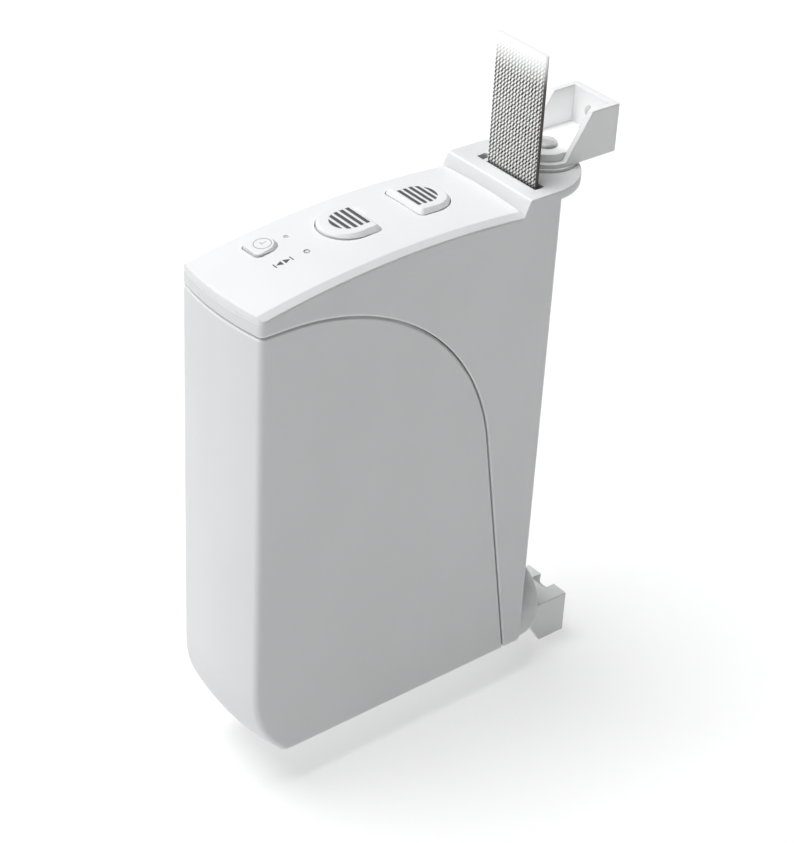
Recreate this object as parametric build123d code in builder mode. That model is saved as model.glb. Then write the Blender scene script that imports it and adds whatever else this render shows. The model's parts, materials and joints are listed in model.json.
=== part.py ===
from build123d import *
import math
import os

os.makedirs("parts", exist_ok=True)

# An electric winder for a roller shutter belt, swivelling on two wall brackets.
# X runs along the wall, Y into the wall and Z up.
# The origin is the lower fixing screw's hole, at the wall plane.

# Housing, measured from its front corners (depth) and its bottom edge (height)
WIDTH = 40.0
WALL = 2.0
FRONT_BOW = 2.2
CORNER_R = 2.0
TOE_R = 36.0
TOE_START = 26.5
BLOCK_RISE = 4.0
BLOCK_LONG = 12.2
BLOCK_SLANT = 2.7
BLOCK_LIP = 4.4

# Crowned top
CROWN_DEPTH = 65.0
CROWN_HEIGHT = 170.3
CROWN_R = 328.0
PANEL_T = 2.6
PANEL_CHAMFER = 2.0
PANEL_RISE = 1.8
PANEL_EDGE = 0.3
PANEL_NOSE_R = 0.8
PANEL_GAP = 0.15
SKIRT_DROP = 3.0
SKIRT_T = 1.2

# Seam between housing and front cover
SEAM_DROP = 11.4
SEAM_BACK = 7.2
SEAM_TILT = 0.163
SEAM_R = 80.0
SEAM_GAP = 0.3
SEAM_CHAMFER = 0.8
CATCH_W = 16.0
CATCH_T = 1.2
CATCH_ROOT = 8.0
CATCH_REACH = 4.5
CATCH_CLEAR = 0.2

# Swivel: ears, pins, washers and wall brackets
PIVOT_TO_WALL = 20.5
PIVOT_BACK = 10.2
EAR_R = 20.0
EAR_SUNK = 1.0
EAR_T = 3.0
EAR_RISE = 1.3
EAR_BOSS_R = 6.5
SWING_STEP = 0.6
EAR_BOSS_H = 4.0
DOME_H = 20.0
PIN_R = 3.0
PIN_HEAD_R = 3.9
PIN_HEAD_T = 1.0
PIN_IN_DOME = 9.0
PIN_END_CLEAR = 0.5
RUN_CLEAR = 0.05
WASHER_R = 10.8
WASHER_T = 1.0
SWIVEL_PLAY = 0.1
RETAINER_R = 5.5
RETAINER_T = 0.8
BRACKET_W = 20.0
BRACKET_H = 16.2
BRACKET_PLATE = 2.5
BRACKET_FLANGE = 1.3
BRACKET_DECK = 3.8
BRACKET_DECK_R = 8.0
GUSSET_T = 2.0
GUSSET_TOP = 11.0
SCREW_HOLE_R = 2.5
SCREW_HOLE_UP = 9.4
NOTCH_W = 7.0
NOTCH_DEEP = 4.0

# Belt
BELT_W = 22.8
BELT_T = 1.3
BELT_X = 3.35
BELT_BACK = 5.7
BELT_STUB = 43.5
SLOT_LONG = 27.7
SLOT_WIDE = 3.9
SLOT_X = 1.35
SLOT_SHIFT = 0.85
SLOT_CORNER = 0.6
ROLLER_CLEAR = 0.15
BELT_LAP = 40.0

# Drum and its winding
DRUM_FRONT_CLEAR = 3.2
DRUM_LOW_CLEAR = 2.2
DRUM_REAR_CLEAR = 8.7
HUB_R = 20.0
HUB_WALL = 2.5
HUB_TUBE_R = 9.0
FLANGE_T = 1.4
AXLE_R = 5.0
BUSH_R = 7.0
BUSH_LONG = 8.0
TURNS = 9
TURN_PITCH = 1.9
WIND_CLEAR = 0.3
SIDE_PLAY = 0.6
HUB_BOSS_R = 2.6
HUB_BOSS_CIRCLE = 15.2
RIM_WIDTH = 5.0
CLIP_R = 7.2
CLIP_T = 0.8
AXLE_BOSS_R = 9.0

# Gear train, module in mm
DRUM_MODULE = 1.0
DRUM_TEETH = 94
IDLER_PINION_TEETH = 14
WHEEL_MODULE = 0.8
IDLER_WHEEL_TEETH = 36
DRIVE_TEETH = 14
PRESSURE_ANGLE = 20.0
ADDENDUM = 0.8
DEDENDUM = 1.1
BACKLASH = 0.16
IDLER_LEAN = 8.0
DRIVE_LEAN = 28.0
GEAR_PIN_R = 2.0
GEAR_PIN_HEAD_R = 3.0
GEAR_PIN_HEAD_T = 0.7
DRIVE_SHAFT_R = 2.5

# Layers along X
CHASSIS_OUT = -17.7
CHASSIS_T = 1.5
LAYER_GAP = 0.4
WHEEL_LAYER = 2.7
RING_LAYER = 3.4

# Guide roller under the belt slot
ROLLER_R = 7.0
ROLLER_RIM_R = 8.2
ROLLER_RIM_T = 0.7
ROLLER_DROP = 17.3
ROLLER_PIN_R = 2.0
LUG_T = 1.6
LUG_R = 4.5
ROLLER_PLAY = 0.3

# Motor, gearbox and electrics
MOTOR_R = 14.0
MOTOR_LONG = 48.0
MOTOR_GAP = 1.5
MOTOR_RISE = 82.0
MOTOR_NECK_R = 6.0
GEARBOX_SHIFT = 5.5
GEARBOX_LONG = 23.5
GEARBOX_UNDER = 23.0
GEARBOX_OVER = 10.0
GEARBOX_HALF = 8.8
SHELF_HEIGHT = 98.0
SHELF_T = 1.5
POWER_W = 30.0
POWER_FRONT = 6.5
POWER_LONG = 26.0
POWER_H = 18.0
CLAMP_T = 1.5
CLAMP_WIDE = 4.0
SADDLE_WIDE = 4.0
SADDLE_UNDER = 16.0
SADDLE_LIP = 2.0
SADDLE_CLEAR = 0.05
SADDLE_RIGHT = 17.4
SADDLE_EAR_T = 1.5
SADDLE_EAR_LONG = 10.0
SADDLE_EAR_RISE = 3.0
SADDLE_FIRST = 3.0
SADDLE_SECOND = 39.0
CLAMP_BACK = 46.0
CLAMP_REACH = 17.4
CHASSIS_FRONT = 5.5
CHASSIS_WINDOWS = ((80.0, 88.0, 30.0, 26.0), (96.0, 124.0, 14.0, 34.0), (25.0, 126.0, 14.0, 10.0))
CHASSIS_FLANGE_W = 7.7
CHASSIS_FLANGE_LOW = 50.0
CHASSIS_FLANGE_H = 97.0
CHASSIS_SCREWS = (60.0, 100.0, 140.0)
CHASSIS_SCREW_X = -13.0
GEARBOX_POST_R = 3.0
GEARBOX_EAR = 4.0
GEARBOX_EAR_FRONT = 4.5
GEARBOX_EAR_LOW = 3.5
SCREW_R = 1.2
SCREW_HEAD_R = 2.3
SCREW_HEAD_H = 0.8
BOARD_SHANK = 4.0
TERMINAL_SHANK = 4.0
CHASSIS_SHANK = 6.0
DRUM_SHANK = 10.0
GEARBOX_SHANK = 12.0
SCREW_CLEAR = 0.05
BOARD_DROP = 10.3
BOARD_T = 1.6
BOARD_HALF = 16.0
BOARD_FRONT = 5.5
BOARD_REAR = 89.5
POST_R = 2.6
POST_X = 13.0
POST_DEPTHS = (10.0, 86.0)
BOARD_SCREW_DEEP = 4.0
SWITCH_SIDE = 6.0
PLUNGER_R = 1.6
PLUNGER_OUT = 1.3
PLUNGER_IN = 0.4
PLUNGER_CLEAR = 0.15

# Buttons: centre, half width, end of the flat, rise over the panel, travel, switch height
KEY_X = -2.1
KEY_R = 9.5
KEY_FLAT = 7.0
KEY_CORNER = 2.0
DOWN_DEPTH = 46.1
UP_DEPTH = 73.7
KEY_RISE = 1.4
KEY_TRAVEL = 0.9
CLOCK_X = -8.3
CLOCK_R = 4.6
CLOCK_DEPTH = 20.1
CLOCK_REACH = 5.0
CLOCK_CORNER = 1.8
CLOCK_RISE = 0.8
CLOCK_TRAVEL = 0.6
SET_X = 2.8
SET_DEPTH = 28.1
SET_R = 0.7
SET_TRAVEL = 0.6
KEY_GAP = 0.3
KEY_CHAMFER = 1.2
CLOCK_CHAMFER = 0.6
CAP_SPARE = 0.65
RIM = 0.9
RIM_T = 1.1
RIM_CLEAR = 0.3
TALL_SWITCH = 3.5
LOW_SWITCH = 1.8
STRIPE_STEP = 2.2
STRIPE_WIDE = 1.3
STRIPE_DEEP = 0.25
STRIPE_R = 5.4
STRIPE_FIRST = 2.95
STRIPES = 5
LIGHT_X = -7.8
LIGHT_DEPTH = 28.3
LIGHT_R = 0.8
LAMP_W = 3.0
LAMP_H = 1.4
SET_SUNK = 0.1
BOARD_BLOCKS = ((-6.0, 36.0, 12.0, 12.0, 1.4), (9.0, 52.0, 10.0, 16.0, 9.0), (-9.0, 70.0, 6.0, 14.0, 6.0))
BOARD_CANS = ((9.0, 24.0, 4.0, 9.0), (-10.0, 52.0, 3.0, 7.0), (8.0, 72.0, 5.0, 9.5))

# Cable inlet and terminals
INLET_X = 0.0
INLET_HEIGHT = 36.0
INLET_R = 3.5
GROMMET_R = 6.0
GROMMET_GROOVE = 5.0
TERMINAL_W = 26.0
TERMINAL_DEEP = 13.0
TERMINAL_H = 12.0
TERMINAL_LOW = 5.0
TERMINAL_HOLE_R = 2.0
GROMMET_LIP = 1.2

# Derived places
FLANGE_R = DRUM_MODULE * (DRUM_TEETH / 2 + ADDENDUM)
DRUM_DEPTH = WALL + DRUM_FRONT_CLEAR + FLANGE_R
DRUM_HEIGHT = WALL + DRUM_LOW_CLEAR + FLANGE_R
SIDE_DEPTH = DRUM_DEPTH + FLANGE_R + DRUM_REAR_CLEAR + WALL
BLOCK_TOP = CROWN_HEIGHT + BLOCK_RISE
BLOCK_FRONT = SIDE_DEPTH - BLOCK_LONG
BLOCK_FOOT = BLOCK_FRONT - BLOCK_SLANT
FORM_TOP = BLOCK_TOP + BLOCK_LONG
SEAM_HEIGHT = CROWN_HEIGHT - SEAM_DROP
SEAM_FOOT = SIDE_DEPTH - SEAM_BACK
BELT_DEPTH = SIDE_DEPTH - BELT_BACK
SLOT_DEPTH = BELT_DEPTH + SLOT_SHIFT
ROLLER_HEIGHT = BLOCK_TOP - ROLLER_DROP
BOARD_HEIGHT = CROWN_HEIGHT - BOARD_DROP
MOTOR_HEIGHT = DRUM_HEIGHT + MOTOR_RISE
GEARBOX_FRONT = DRUM_DEPTH + GEARBOX_SHIFT
GEARBOX_REAR = GEARBOX_FRONT + GEARBOX_LONG
GEARBOX_LOW = MOTOR_HEIGHT - GEARBOX_UNDER
GEARBOX_TOP = MOTOR_HEIGHT + GEARBOX_OVER
GEARBOX_SCREWS = (
    (GEARBOX_FRONT + GEARBOX_EAR_FRONT, GEARBOX_TOP - GEARBOX_EAR),
    (GEARBOX_REAR - GEARBOX_EAR, GEARBOX_TOP - GEARBOX_EAR),
    (GEARBOX_REAR - GEARBOX_EAR, GEARBOX_LOW + GEARBOX_EAR_LOW),
)
MOTOR_FRONT = GEARBOX_FRONT - MOTOR_GAP - MOTOR_LONG
SADDLE_PLACES = (MOTOR_FRONT + SADDLE_FIRST, MOTOR_FRONT + SADDLE_SECOND)
CLAMP_DEPTH = MOTOR_FRONT + CLAMP_BACK
SADDLE_LOW = MOTOR_HEIGHT - SADDLE_UNDER
SADDLE_TOP = MOTOR_HEIGHT - SADDLE_LIP
SADDLE_EAR_TOP = MOTOR_HEIGHT + SADDLE_EAR_RISE
CHASSIS_REAR = SIDE_DEPTH - WALL
CHASSIS_TOP = CHASSIS_FLANGE_LOW + CHASSIS_FLANGE_H
CHASSIS_OUTLINE = (
    (34.0, 36.0), (74.0, 26.0), (CHASSIS_REAR - 3.5, CHASSIS_FLANGE_LOW),
    (CHASSIS_REAR, CHASSIS_FLANGE_LOW), (CHASSIS_REAR, CHASSIS_TOP), (CHASSIS_FRONT, CHASSIS_TOP),
    (CHASSIS_FRONT, SHELF_HEIGHT - 2.0), (22.0, SHELF_HEIGHT - 10.0),
)
PIVOT_DEPTH = SIDE_DEPTH + PIVOT_BACK
EAR_CENTRE = SIDE_DEPTH - EAR_SUNK
WALL_TO_FRONT = PIVOT_DEPTH + PIVOT_TO_WALL
LOWER_BASE = EAR_RISE - WASHER_T
UPPER_BASE = BLOCK_TOP + WASHER_T
HALF = WIDTH / 2
INNER = HALF - WALL
BOW_R = (HALF**2 + FRONT_BOW**2) / (2 * FRONT_BOW)
CROWN_CENTRE = CROWN_HEIGHT - CROWN_R
SEAM_CORNER = SEAM_FOOT - SEAM_TILT * SEAM_HEIGHT
BOARD_TOP = BOARD_HEIGHT + BOARD_T
DOWN_FLAT = DOWN_DEPTH + KEY_FLAT
UP_FLAT = UP_DEPTH - KEY_FLAT
CLOCK_FLAT = CLOCK_DEPTH - CLOCK_REACH
CHASSIS_IN = CHASSIS_OUT + CHASSIS_T
WHEEL_LEFT = CHASSIS_IN + LAYER_GAP
WHEEL_RIGHT = WHEEL_LEFT + WHEEL_LAYER
RING_LEFT = WHEEL_RIGHT + LAYER_GAP
RING_RIGHT = RING_LEFT + RING_LAYER
HUB_RIGHT = BELT_X + BELT_W / 2 + SIDE_PLAY
FLANGE_RIGHT = HUB_RIGHT + FLANGE_T
ROLLER_LEFT = BELT_X - BELT_W / 2 - SIDE_PLAY - ROLLER_RIM_T
ROLLER_RIGHT = BELT_X + BELT_W / 2 + SIDE_PLAY + ROLLER_RIM_T
ROLLER_PATH = ROLLER_R + ROLLER_CLEAR + BELT_T / 2
ROLLER_DEPTH = BELT_DEPTH - ROLLER_PATH
WIND_IN = HUB_R + ROLLER_CLEAR
WIND_OUT = WIND_IN + TURNS * TURN_PITCH + BELT_T
DRUM_PATH = WIND_OUT + WIND_CLEAR + BELT_T / 2
IDLER_REACH = DRUM_MODULE * (DRUM_TEETH + IDLER_PINION_TEETH) / 2
IDLER_DEPTH = DRUM_DEPTH + IDLER_REACH * math.sin(math.radians(IDLER_LEAN))
IDLER_HEIGHT = DRUM_HEIGHT + IDLER_REACH * math.cos(math.radians(IDLER_LEAN))
DRIVE_REACH = WHEEL_MODULE * (IDLER_WHEEL_TEETH + DRIVE_TEETH) / 2
DRIVE_DEPTH = IDLER_DEPTH + DRIVE_REACH * math.sin(math.radians(DRIVE_LEAN))
DRIVE_HEIGHT = IDLER_HEIGHT + DRIVE_REACH * math.cos(math.radians(DRIVE_LEAN))


def back(depth):
    """y of a point that lies this far behind the housing's front corners"""
    return depth - WALL_TO_FRONT


def up(height):
    """z of a point that lies this far above the housing's bottom edge"""
    return height - LOWER_BASE + SCREW_HOLE_UP


def crown(depth, rise=0.0):
    """height of the top's arc, or of one that lies concentric above it"""
    return CROWN_CENTRE + math.sqrt((CROWN_R + rise) ** 2 - (depth - CROWN_DEPTH) ** 2)


def side_point(depth, height):
    """a point of a sketch on Plane.YZ"""
    return (back(depth), up(height))


def casing_plan(inset, rear):
    """the housing's outline seen from above, moved in by inset"""
    half = HALF - inset
    radius = BOW_R - inset
    centre = BOW_R - FRONT_BOW
    side = centre - math.sqrt(radius**2 - half**2)
    with BuildSketch(Plane.XY) as plan:
        with BuildLine():
            ThreePointArc((-half, back(side)), (0, back(centre - radius)), (half, back(side)))
            Polyline(
                (half, back(side)), (half, back(rear)), (-half, back(rear)), (-half, back(side))
            )
        make_face()
        fillet(plan.vertices().group_by(Axis.Y)[0], max(CORNER_R - inset, CORNER_R / 5))
    return plan.sketch


def casing_form(inset, rear, base):
    """the housing's closed body with its rounded toe, moved in by inset"""
    with BuildPart() as form:
        with BuildSketch(Plane.XY.offset(up(TOE_START))):
            add(casing_plan(inset, rear))
        extrude(amount=FORM_TOP - TOE_START)
        with BuildSketch(Plane.XY.offset(up(TOE_START))):
            add(casing_plan(inset, TOE_R))
        revolve(axis=Axis((0, back(TOE_R), up(TOE_START)), (1, 0, 0)), revolution_arc=90)
        with BuildSketch(Plane.XY.offset(up(base))):
            with Locations((0, back((TOE_R + rear) / 2))):
                Rectangle(2 * (HALF - inset), rear - TOE_R)
        extrude(amount=TOE_START - base)
        split(bisect_by=Plane.XY.offset(up(base)), keep=Keep.TOP)
    return form.part


def casing_side():
    """side view of everything below the control panel, with the belt block"""
    front = -2 * FRONT_BOW
    with BuildSketch(Plane.XY) as side:
        with BuildLine():
            ThreePointArc(
                side_point(front, crown(front)),
                side_point(BLOCK_FOOT / 2, crown(BLOCK_FOOT / 2)),
                side_point(BLOCK_FOOT, crown(BLOCK_FOOT)),
            )
            Polyline(
                side_point(BLOCK_FOOT, crown(BLOCK_FOOT)),
                side_point(BLOCK_FRONT, BLOCK_TOP),
                side_point(SIDE_DEPTH, BLOCK_TOP),
                side_point(SIDE_DEPTH, 0),
                side_point(front, 0),
                side_point(front, crown(front)),
            )
        make_face()
    return side.sketch


def seam_side(clear):
    """side view of the front cover's region, moved outward by clear"""
    slant = clear * math.hypot(1, SEAM_TILT)
    drop = 5.0
    top = SEAM_HEIGHT + clear
    foot = SEAM_FOOT + slant
    front = -3 * FRONT_BOW
    with BuildSketch(Plane.XY) as side:
        with BuildLine():
            FilletPolyline(
                side_point(front, top),
                side_point(foot - SEAM_TILT * top, top),
                side_point(foot + SEAM_TILT * drop, -drop),
                radius=SEAM_R + clear,
            )
            Polyline(
                side_point(foot + SEAM_TILT * drop, -drop),
                side_point(front, -drop),
                side_point(front, top),
            )
        make_face()
    return side.sketch


def on_seam(point):
    """true for a point of the cover's outer edge along the seam"""
    depth = point.Y - back(0)
    height = point.Z - up(0)
    outside = abs(point.X) > HALF - CORNER_R / 2 or depth < -FRONT_BOW / 2
    tangent = SEAM_R * math.tan((math.pi / 2 - math.atan(SEAM_TILT)) / 2)
    arc_depth = SEAM_CORNER - tangent
    from_arc = math.hypot(depth - arc_depth, height - (SEAM_HEIGHT - SEAM_R)) - SEAM_R
    from_slant = (depth + SEAM_TILT * height - SEAM_FOOT) / math.hypot(1, SEAM_TILT)
    near = min(abs(height - SEAM_HEIGHT), abs(from_arc), abs(from_slant))
    return outside and near < 0.02


def key_outline(x, depth, radius, flat, corner):
    """a button seen from above: round at one end and straight at the other"""
    with BuildSketch(Plane.XY) as key:
        with Locations((x, back(depth))):
            Circle(radius)
        with Locations((x, back((depth + flat) / 2))):
            Rectangle(2 * radius, abs(flat - depth))
        with Locations((x, back(flat + math.copysign(radius, flat - depth)))):
            Rectangle(3 * radius, 2 * radius, mode=Mode.SUBTRACT)
        fillet(key.vertices().filter_by(lambda v: abs(v.Y - back(flat)) < corner / 10), corner)
    return key.sketch


def gear_outline(teeth, module, phase):
    """a spur gear's outline, with the first tooth centred at phase degrees"""
    pitch = teeth * module / 2
    base = pitch * math.cos(math.radians(PRESSURE_ANGLE))
    root = pitch - DEDENDUM * module
    tip = pitch + ADDENDUM * module
    at_pitch = math.pi / (2 * teeth) - BACKLASH * module / (2 * pitch)
    involute = math.tan(math.radians(PRESSURE_ANGLE)) - math.radians(PRESSURE_ANGLE)
    flank = []
    for radius in sorted({root, max(root, base), pitch, tip}):
        angle = math.acos(min(1.0, base / radius))
        flank.append((radius, at_pitch + involute - (math.tan(angle) - angle)))
    points = []
    for tooth in range(teeth):
        centre = math.radians(phase) + 2 * math.pi * tooth / teeth
        for radius, half in flank:
            points.append((radius * math.cos(centre - half), radius * math.sin(centre - half)))
        for radius, half in reversed(flank):
            points.append((radius * math.cos(centre + half), radius * math.sin(centre + half)))
    with BuildSketch(Plane.XY) as gear:
        with BuildLine():
            Polyline(*points, close=True)
        make_face()
    return gear.sketch


def side_plane(x, depth, height):
    """a plane across X, seen from +X, centred on a shaft"""
    return Plane(origin=(x, back(depth), up(height)), x_dir=(0, 1, 0), z_dir=(1, 0, 0))


def screw_form(head_r, head_h, shank_r, length):
    """a pan head screw, head up, its seat at the origin, with a cross recess"""
    with BuildPart() as screw:
        Cylinder(head_r, head_h, align=(Align.CENTER, Align.CENTER, Align.MIN))
        chamfer(screw.faces().sort_by(Axis.Z)[-1].edges(), head_h * 0.4)
        with Locations((0, 0, head_h)):
            Box(head_r * 1.1, head_r * 0.3, head_h, mode=Mode.SUBTRACT)
            Box(head_r * 0.3, head_r * 1.1, head_h, mode=Mode.SUBTRACT)
        Cylinder(shank_r, length, align=(Align.CENTER, Align.CENTER, Align.MAX))
    return screw.part


def bracket_form():
    """a wall bracket, base down at z = 0, its back on the wall at y = 0"""
    half = BRACKET_W / 2
    with BuildPart() as bracket:
        for radius, low, high in ((half, 0, BRACKET_FLANGE), (BRACKET_DECK_R, 0, BRACKET_DECK)):
            with BuildSketch(Plane.XY.offset(low)):
                with Locations((0, -PIVOT_TO_WALL)):
                    Circle(radius)
                with Locations((0, -PIVOT_TO_WALL / 2)):
                    Rectangle(2 * radius, PIVOT_TO_WALL)
            extrude(amount=high - low)
        with Locations((0, -BRACKET_PLATE / 2, 0)):
            Box(BRACKET_W, BRACKET_PLATE, BRACKET_H, align=(Align.CENTER, Align.CENTER, Align.MIN))
        with BuildSketch(Plane.YZ):
            with BuildLine():
                Polyline(
                    (0, 0),
                    (-PIVOT_TO_WALL, 0),
                    (-PIVOT_TO_WALL, BRACKET_FLANGE),
                    (-GUSSET_TOP, BRACKET_H),
                    (0, BRACKET_H),
                    close=True,
                )
            make_face()
        extrude(amount=half, both=True)
        with BuildSketch(Plane.YZ):
            with BuildLine():
                Polyline(
                    (-BRACKET_PLATE, BRACKET_DECK),
                    (-2 * PIVOT_TO_WALL, BRACKET_DECK),
                    (-2 * PIVOT_TO_WALL, 2 * BRACKET_H),
                    (-BRACKET_PLATE, 2 * BRACKET_H),
                    close=True,
                )
            make_face()
        extrude(amount=half - GUSSET_T, both=True, mode=Mode.SUBTRACT)
        with Locations(Location((0, 0, SCREW_HOLE_UP), (90, 0, 0))):
            Cylinder(SCREW_HOLE_R, 3 * BRACKET_PLATE, mode=Mode.SUBTRACT)
        with Locations((0, -PIVOT_TO_WALL, 0)):
            Cylinder(PIN_R, 3 * BRACKET_DECK, mode=Mode.SUBTRACT)
        with Locations((0, -NOTCH_DEEP / 2, 0)):
            Box(NOTCH_W, NOTCH_DEEP, 2 * BRACKET_DECK, mode=Mode.SUBTRACT)
    return bracket.part


def pin_form(length):
    """a headed swivel pin, head up, its shank going down from z = 0"""
    with BuildPart() as pin:
        Cylinder(PIN_HEAD_R, PIN_HEAD_T, align=(Align.CENTER, Align.CENTER, Align.MIN))
        chamfer(pin.faces().sort_by(Axis.Z)[-1].edges(), PIN_HEAD_T * 0.3)
        Cylinder(PIN_R, length, align=(Align.CENTER, Align.CENTER, Align.MAX))
    return pin.part


def ear_form():
    """the round lobe behind the rear wall that a swivel pin goes through"""
    with BuildPart() as ear:
        with BuildSketch(Plane.XY.offset(up(BLOCK_TOP - EAR_T))):
            with Locations((0, back(EAR_CENTRE))):
                Circle(EAR_R)
            with Locations((0, back(SIDE_DEPTH - WALL))):
                Rectangle(WIDTH, EAR_R, align=(Align.CENTER, Align.MAX), mode=Mode.SUBTRACT)
        extrude(amount=EAR_T)
        with Locations((0, back(PIVOT_DEPTH), up(BLOCK_TOP - EAR_T))):
            Cylinder(EAR_BOSS_R, EAR_BOSS_H, align=(Align.CENTER, Align.CENTER, Align.MAX))
    return ear.part


def dome_form():
    """the lower ear, which a domed fairing joins to the rear wall"""
    with BuildPart() as dome:
        with BuildSketch(Plane.YZ):
            with BuildLine():
                Polyline(
                    side_point(EAR_CENTRE, EAR_RISE + EAR_T + DOME_H),
                    side_point(EAR_CENTRE, EAR_RISE),
                    side_point(EAR_CENTRE + EAR_R, EAR_RISE),
                    side_point(EAR_CENTRE + EAR_R, EAR_RISE + EAR_T),
                )
                EllipticalCenterArc(
                    side_point(EAR_CENTRE, EAR_RISE + EAR_T),
                    EAR_R,
                    DOME_H,
                    start_angle=0,
                    arc_size=90,
                )
            make_face()
        revolve(axis=Axis((0, back(EAR_CENTRE), 0), (0, 0, 1)), revolution_arc=360)
        with Locations((0, back(SIDE_DEPTH - WALL), up(EAR_RISE))):
            Box(
                3 * EAR_R, 3 * EAR_R, 3 * EAR_R,
                align=(Align.CENTER, Align.MAX, Align.CENTER), mode=Mode.SUBTRACT,
            )
    return dome.part


def lid_form():
    """the control panel's crowned plate: chamfered sides and a rounded front edge"""
    lead = math.asin((CROWN_DEPTH + 2 * FRONT_BOW) / CROWN_R)
    tail = math.asin((BLOCK_FOOT - CROWN_DEPTH) / CROWN_R)
    section = Plane(
        origin=(0, back(CROWN_DEPTH), up(CROWN_CENTRE)),
        x_dir=(1, 0, 0),
        z_dir=(0, -math.cos(lead), -math.sin(lead)),
    )
    top = HALF - PANEL_CHAMFER
    with BuildPart() as lid:
        with BuildSketch(section):
            with BuildLine():
                ThreePointArc(
                    (top, CROWN_R + PANEL_RISE), (0, CROWN_R + PANEL_T), (-top, CROWN_R + PANEL_RISE)
                )
                Polyline(
                    (-top, CROWN_R + PANEL_RISE),
                    (-HALF, CROWN_R + PANEL_EDGE),
                    (-HALF, CROWN_R),
                    (HALF, CROWN_R),
                    (HALF, CROWN_R + PANEL_EDGE),
                    (top, CROWN_R + PANEL_RISE),
                )
            make_face()
        revolve(axis=Axis(section.origin, (-1, 0, 0)), revolution_arc=math.degrees(lead + tail))
    return lid.part


def nose_form():
    """the room the panel's plate may fill: upright all round, with a rounded front top edge"""
    low = up(BOARD_HEIGHT)
    top = up(crown(PANEL_NOSE_R - FRONT_BOW, PANEL_T))
    with BuildPart() as nose:
        with BuildSketch(Plane.XY.offset(low)):
            add(casing_plan(0, BLOCK_FOOT))
        extrude(amount=top - low)
        edges = nose.faces().sort_by(Axis.Z)[-1].edges()
        fillet(edges.filter_by(lambda e: e.position_at(0.5).Y < back(FRONT_BOW)), PANEL_NOSE_R)
        with BuildSketch(Plane.XY.offset(low)):
            add(casing_plan(PANEL_NOSE_R, BLOCK_FOOT))
            with Locations((0, back(BLOCK_FOOT))):
                Rectangle(WIDTH, BLOCK_FOOT - 2 * FRONT_BOW, align=(Align.CENTER, Align.MAX))
        extrude(amount=FORM_TOP - BOARD_HEIGHT)
    return nose.part


def flat_screw(x, depth, height, turn, shank):
    """a screw with its head's seat at a point; turn is the rotation that aims its head"""
    return SCREW[shank].moved(Location((x, back(depth), up(height)), turn))


# Forms that several pieces are cut from
OUTER = casing_form(0, SIDE_DEPTH, 0)
CAVITY = casing_form(WALL, SIDE_DEPTH - WALL, WALL)
BRACKET = bracket_form()
EAR = ear_form()
DOME = dome_form()
LID = lid_form() & nose_form()
SHANKS = (BOARD_SHANK, TERMINAL_SHANK, CHASSIS_SHANK, DRUM_SHANK, GEARBOX_SHANK)
SCREW = {length: screw_form(SCREW_HEAD_R, SCREW_HEAD_H, SCREW_R, length) for length in SHANKS}

# Front cover: a U shell that closes the belt compartment and pulls off forward
with BuildPart() as front_cover:
    add(OUTER)
    add(CAVITY, mode=Mode.SUBTRACT)
    with BuildSketch(Plane.YZ):
        add(seam_side(0))
    extrude(amount=WIDTH, both=True, mode=Mode.INTERSECT)
    chamfer(front_cover.edges().filter_by(lambda e: on_seam(e.position_at(0.5))), SEAM_CHAMFER)
    catch_end = SEAM_FOOT + CATCH_REACH
    with Locations((0, back(catch_end), up(WALL + CATCH_CLEAR))):
        Box(
            CATCH_W, CATCH_REACH + CATCH_ROOT, CATCH_T, align=(Align.CENTER, Align.MAX, Align.MIN)
        )
    with Locations((0, back(catch_end - CATCH_REACH - WALL), up(WALL / 2))):
        Box(CATCH_W, CATCH_ROOT - WALL, WALL, align=(Align.CENTER, Align.MAX, Align.MIN))
front_cover.part.label = "front_cover"
export_step(front_cover.part, "parts/front_cover.step")

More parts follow.
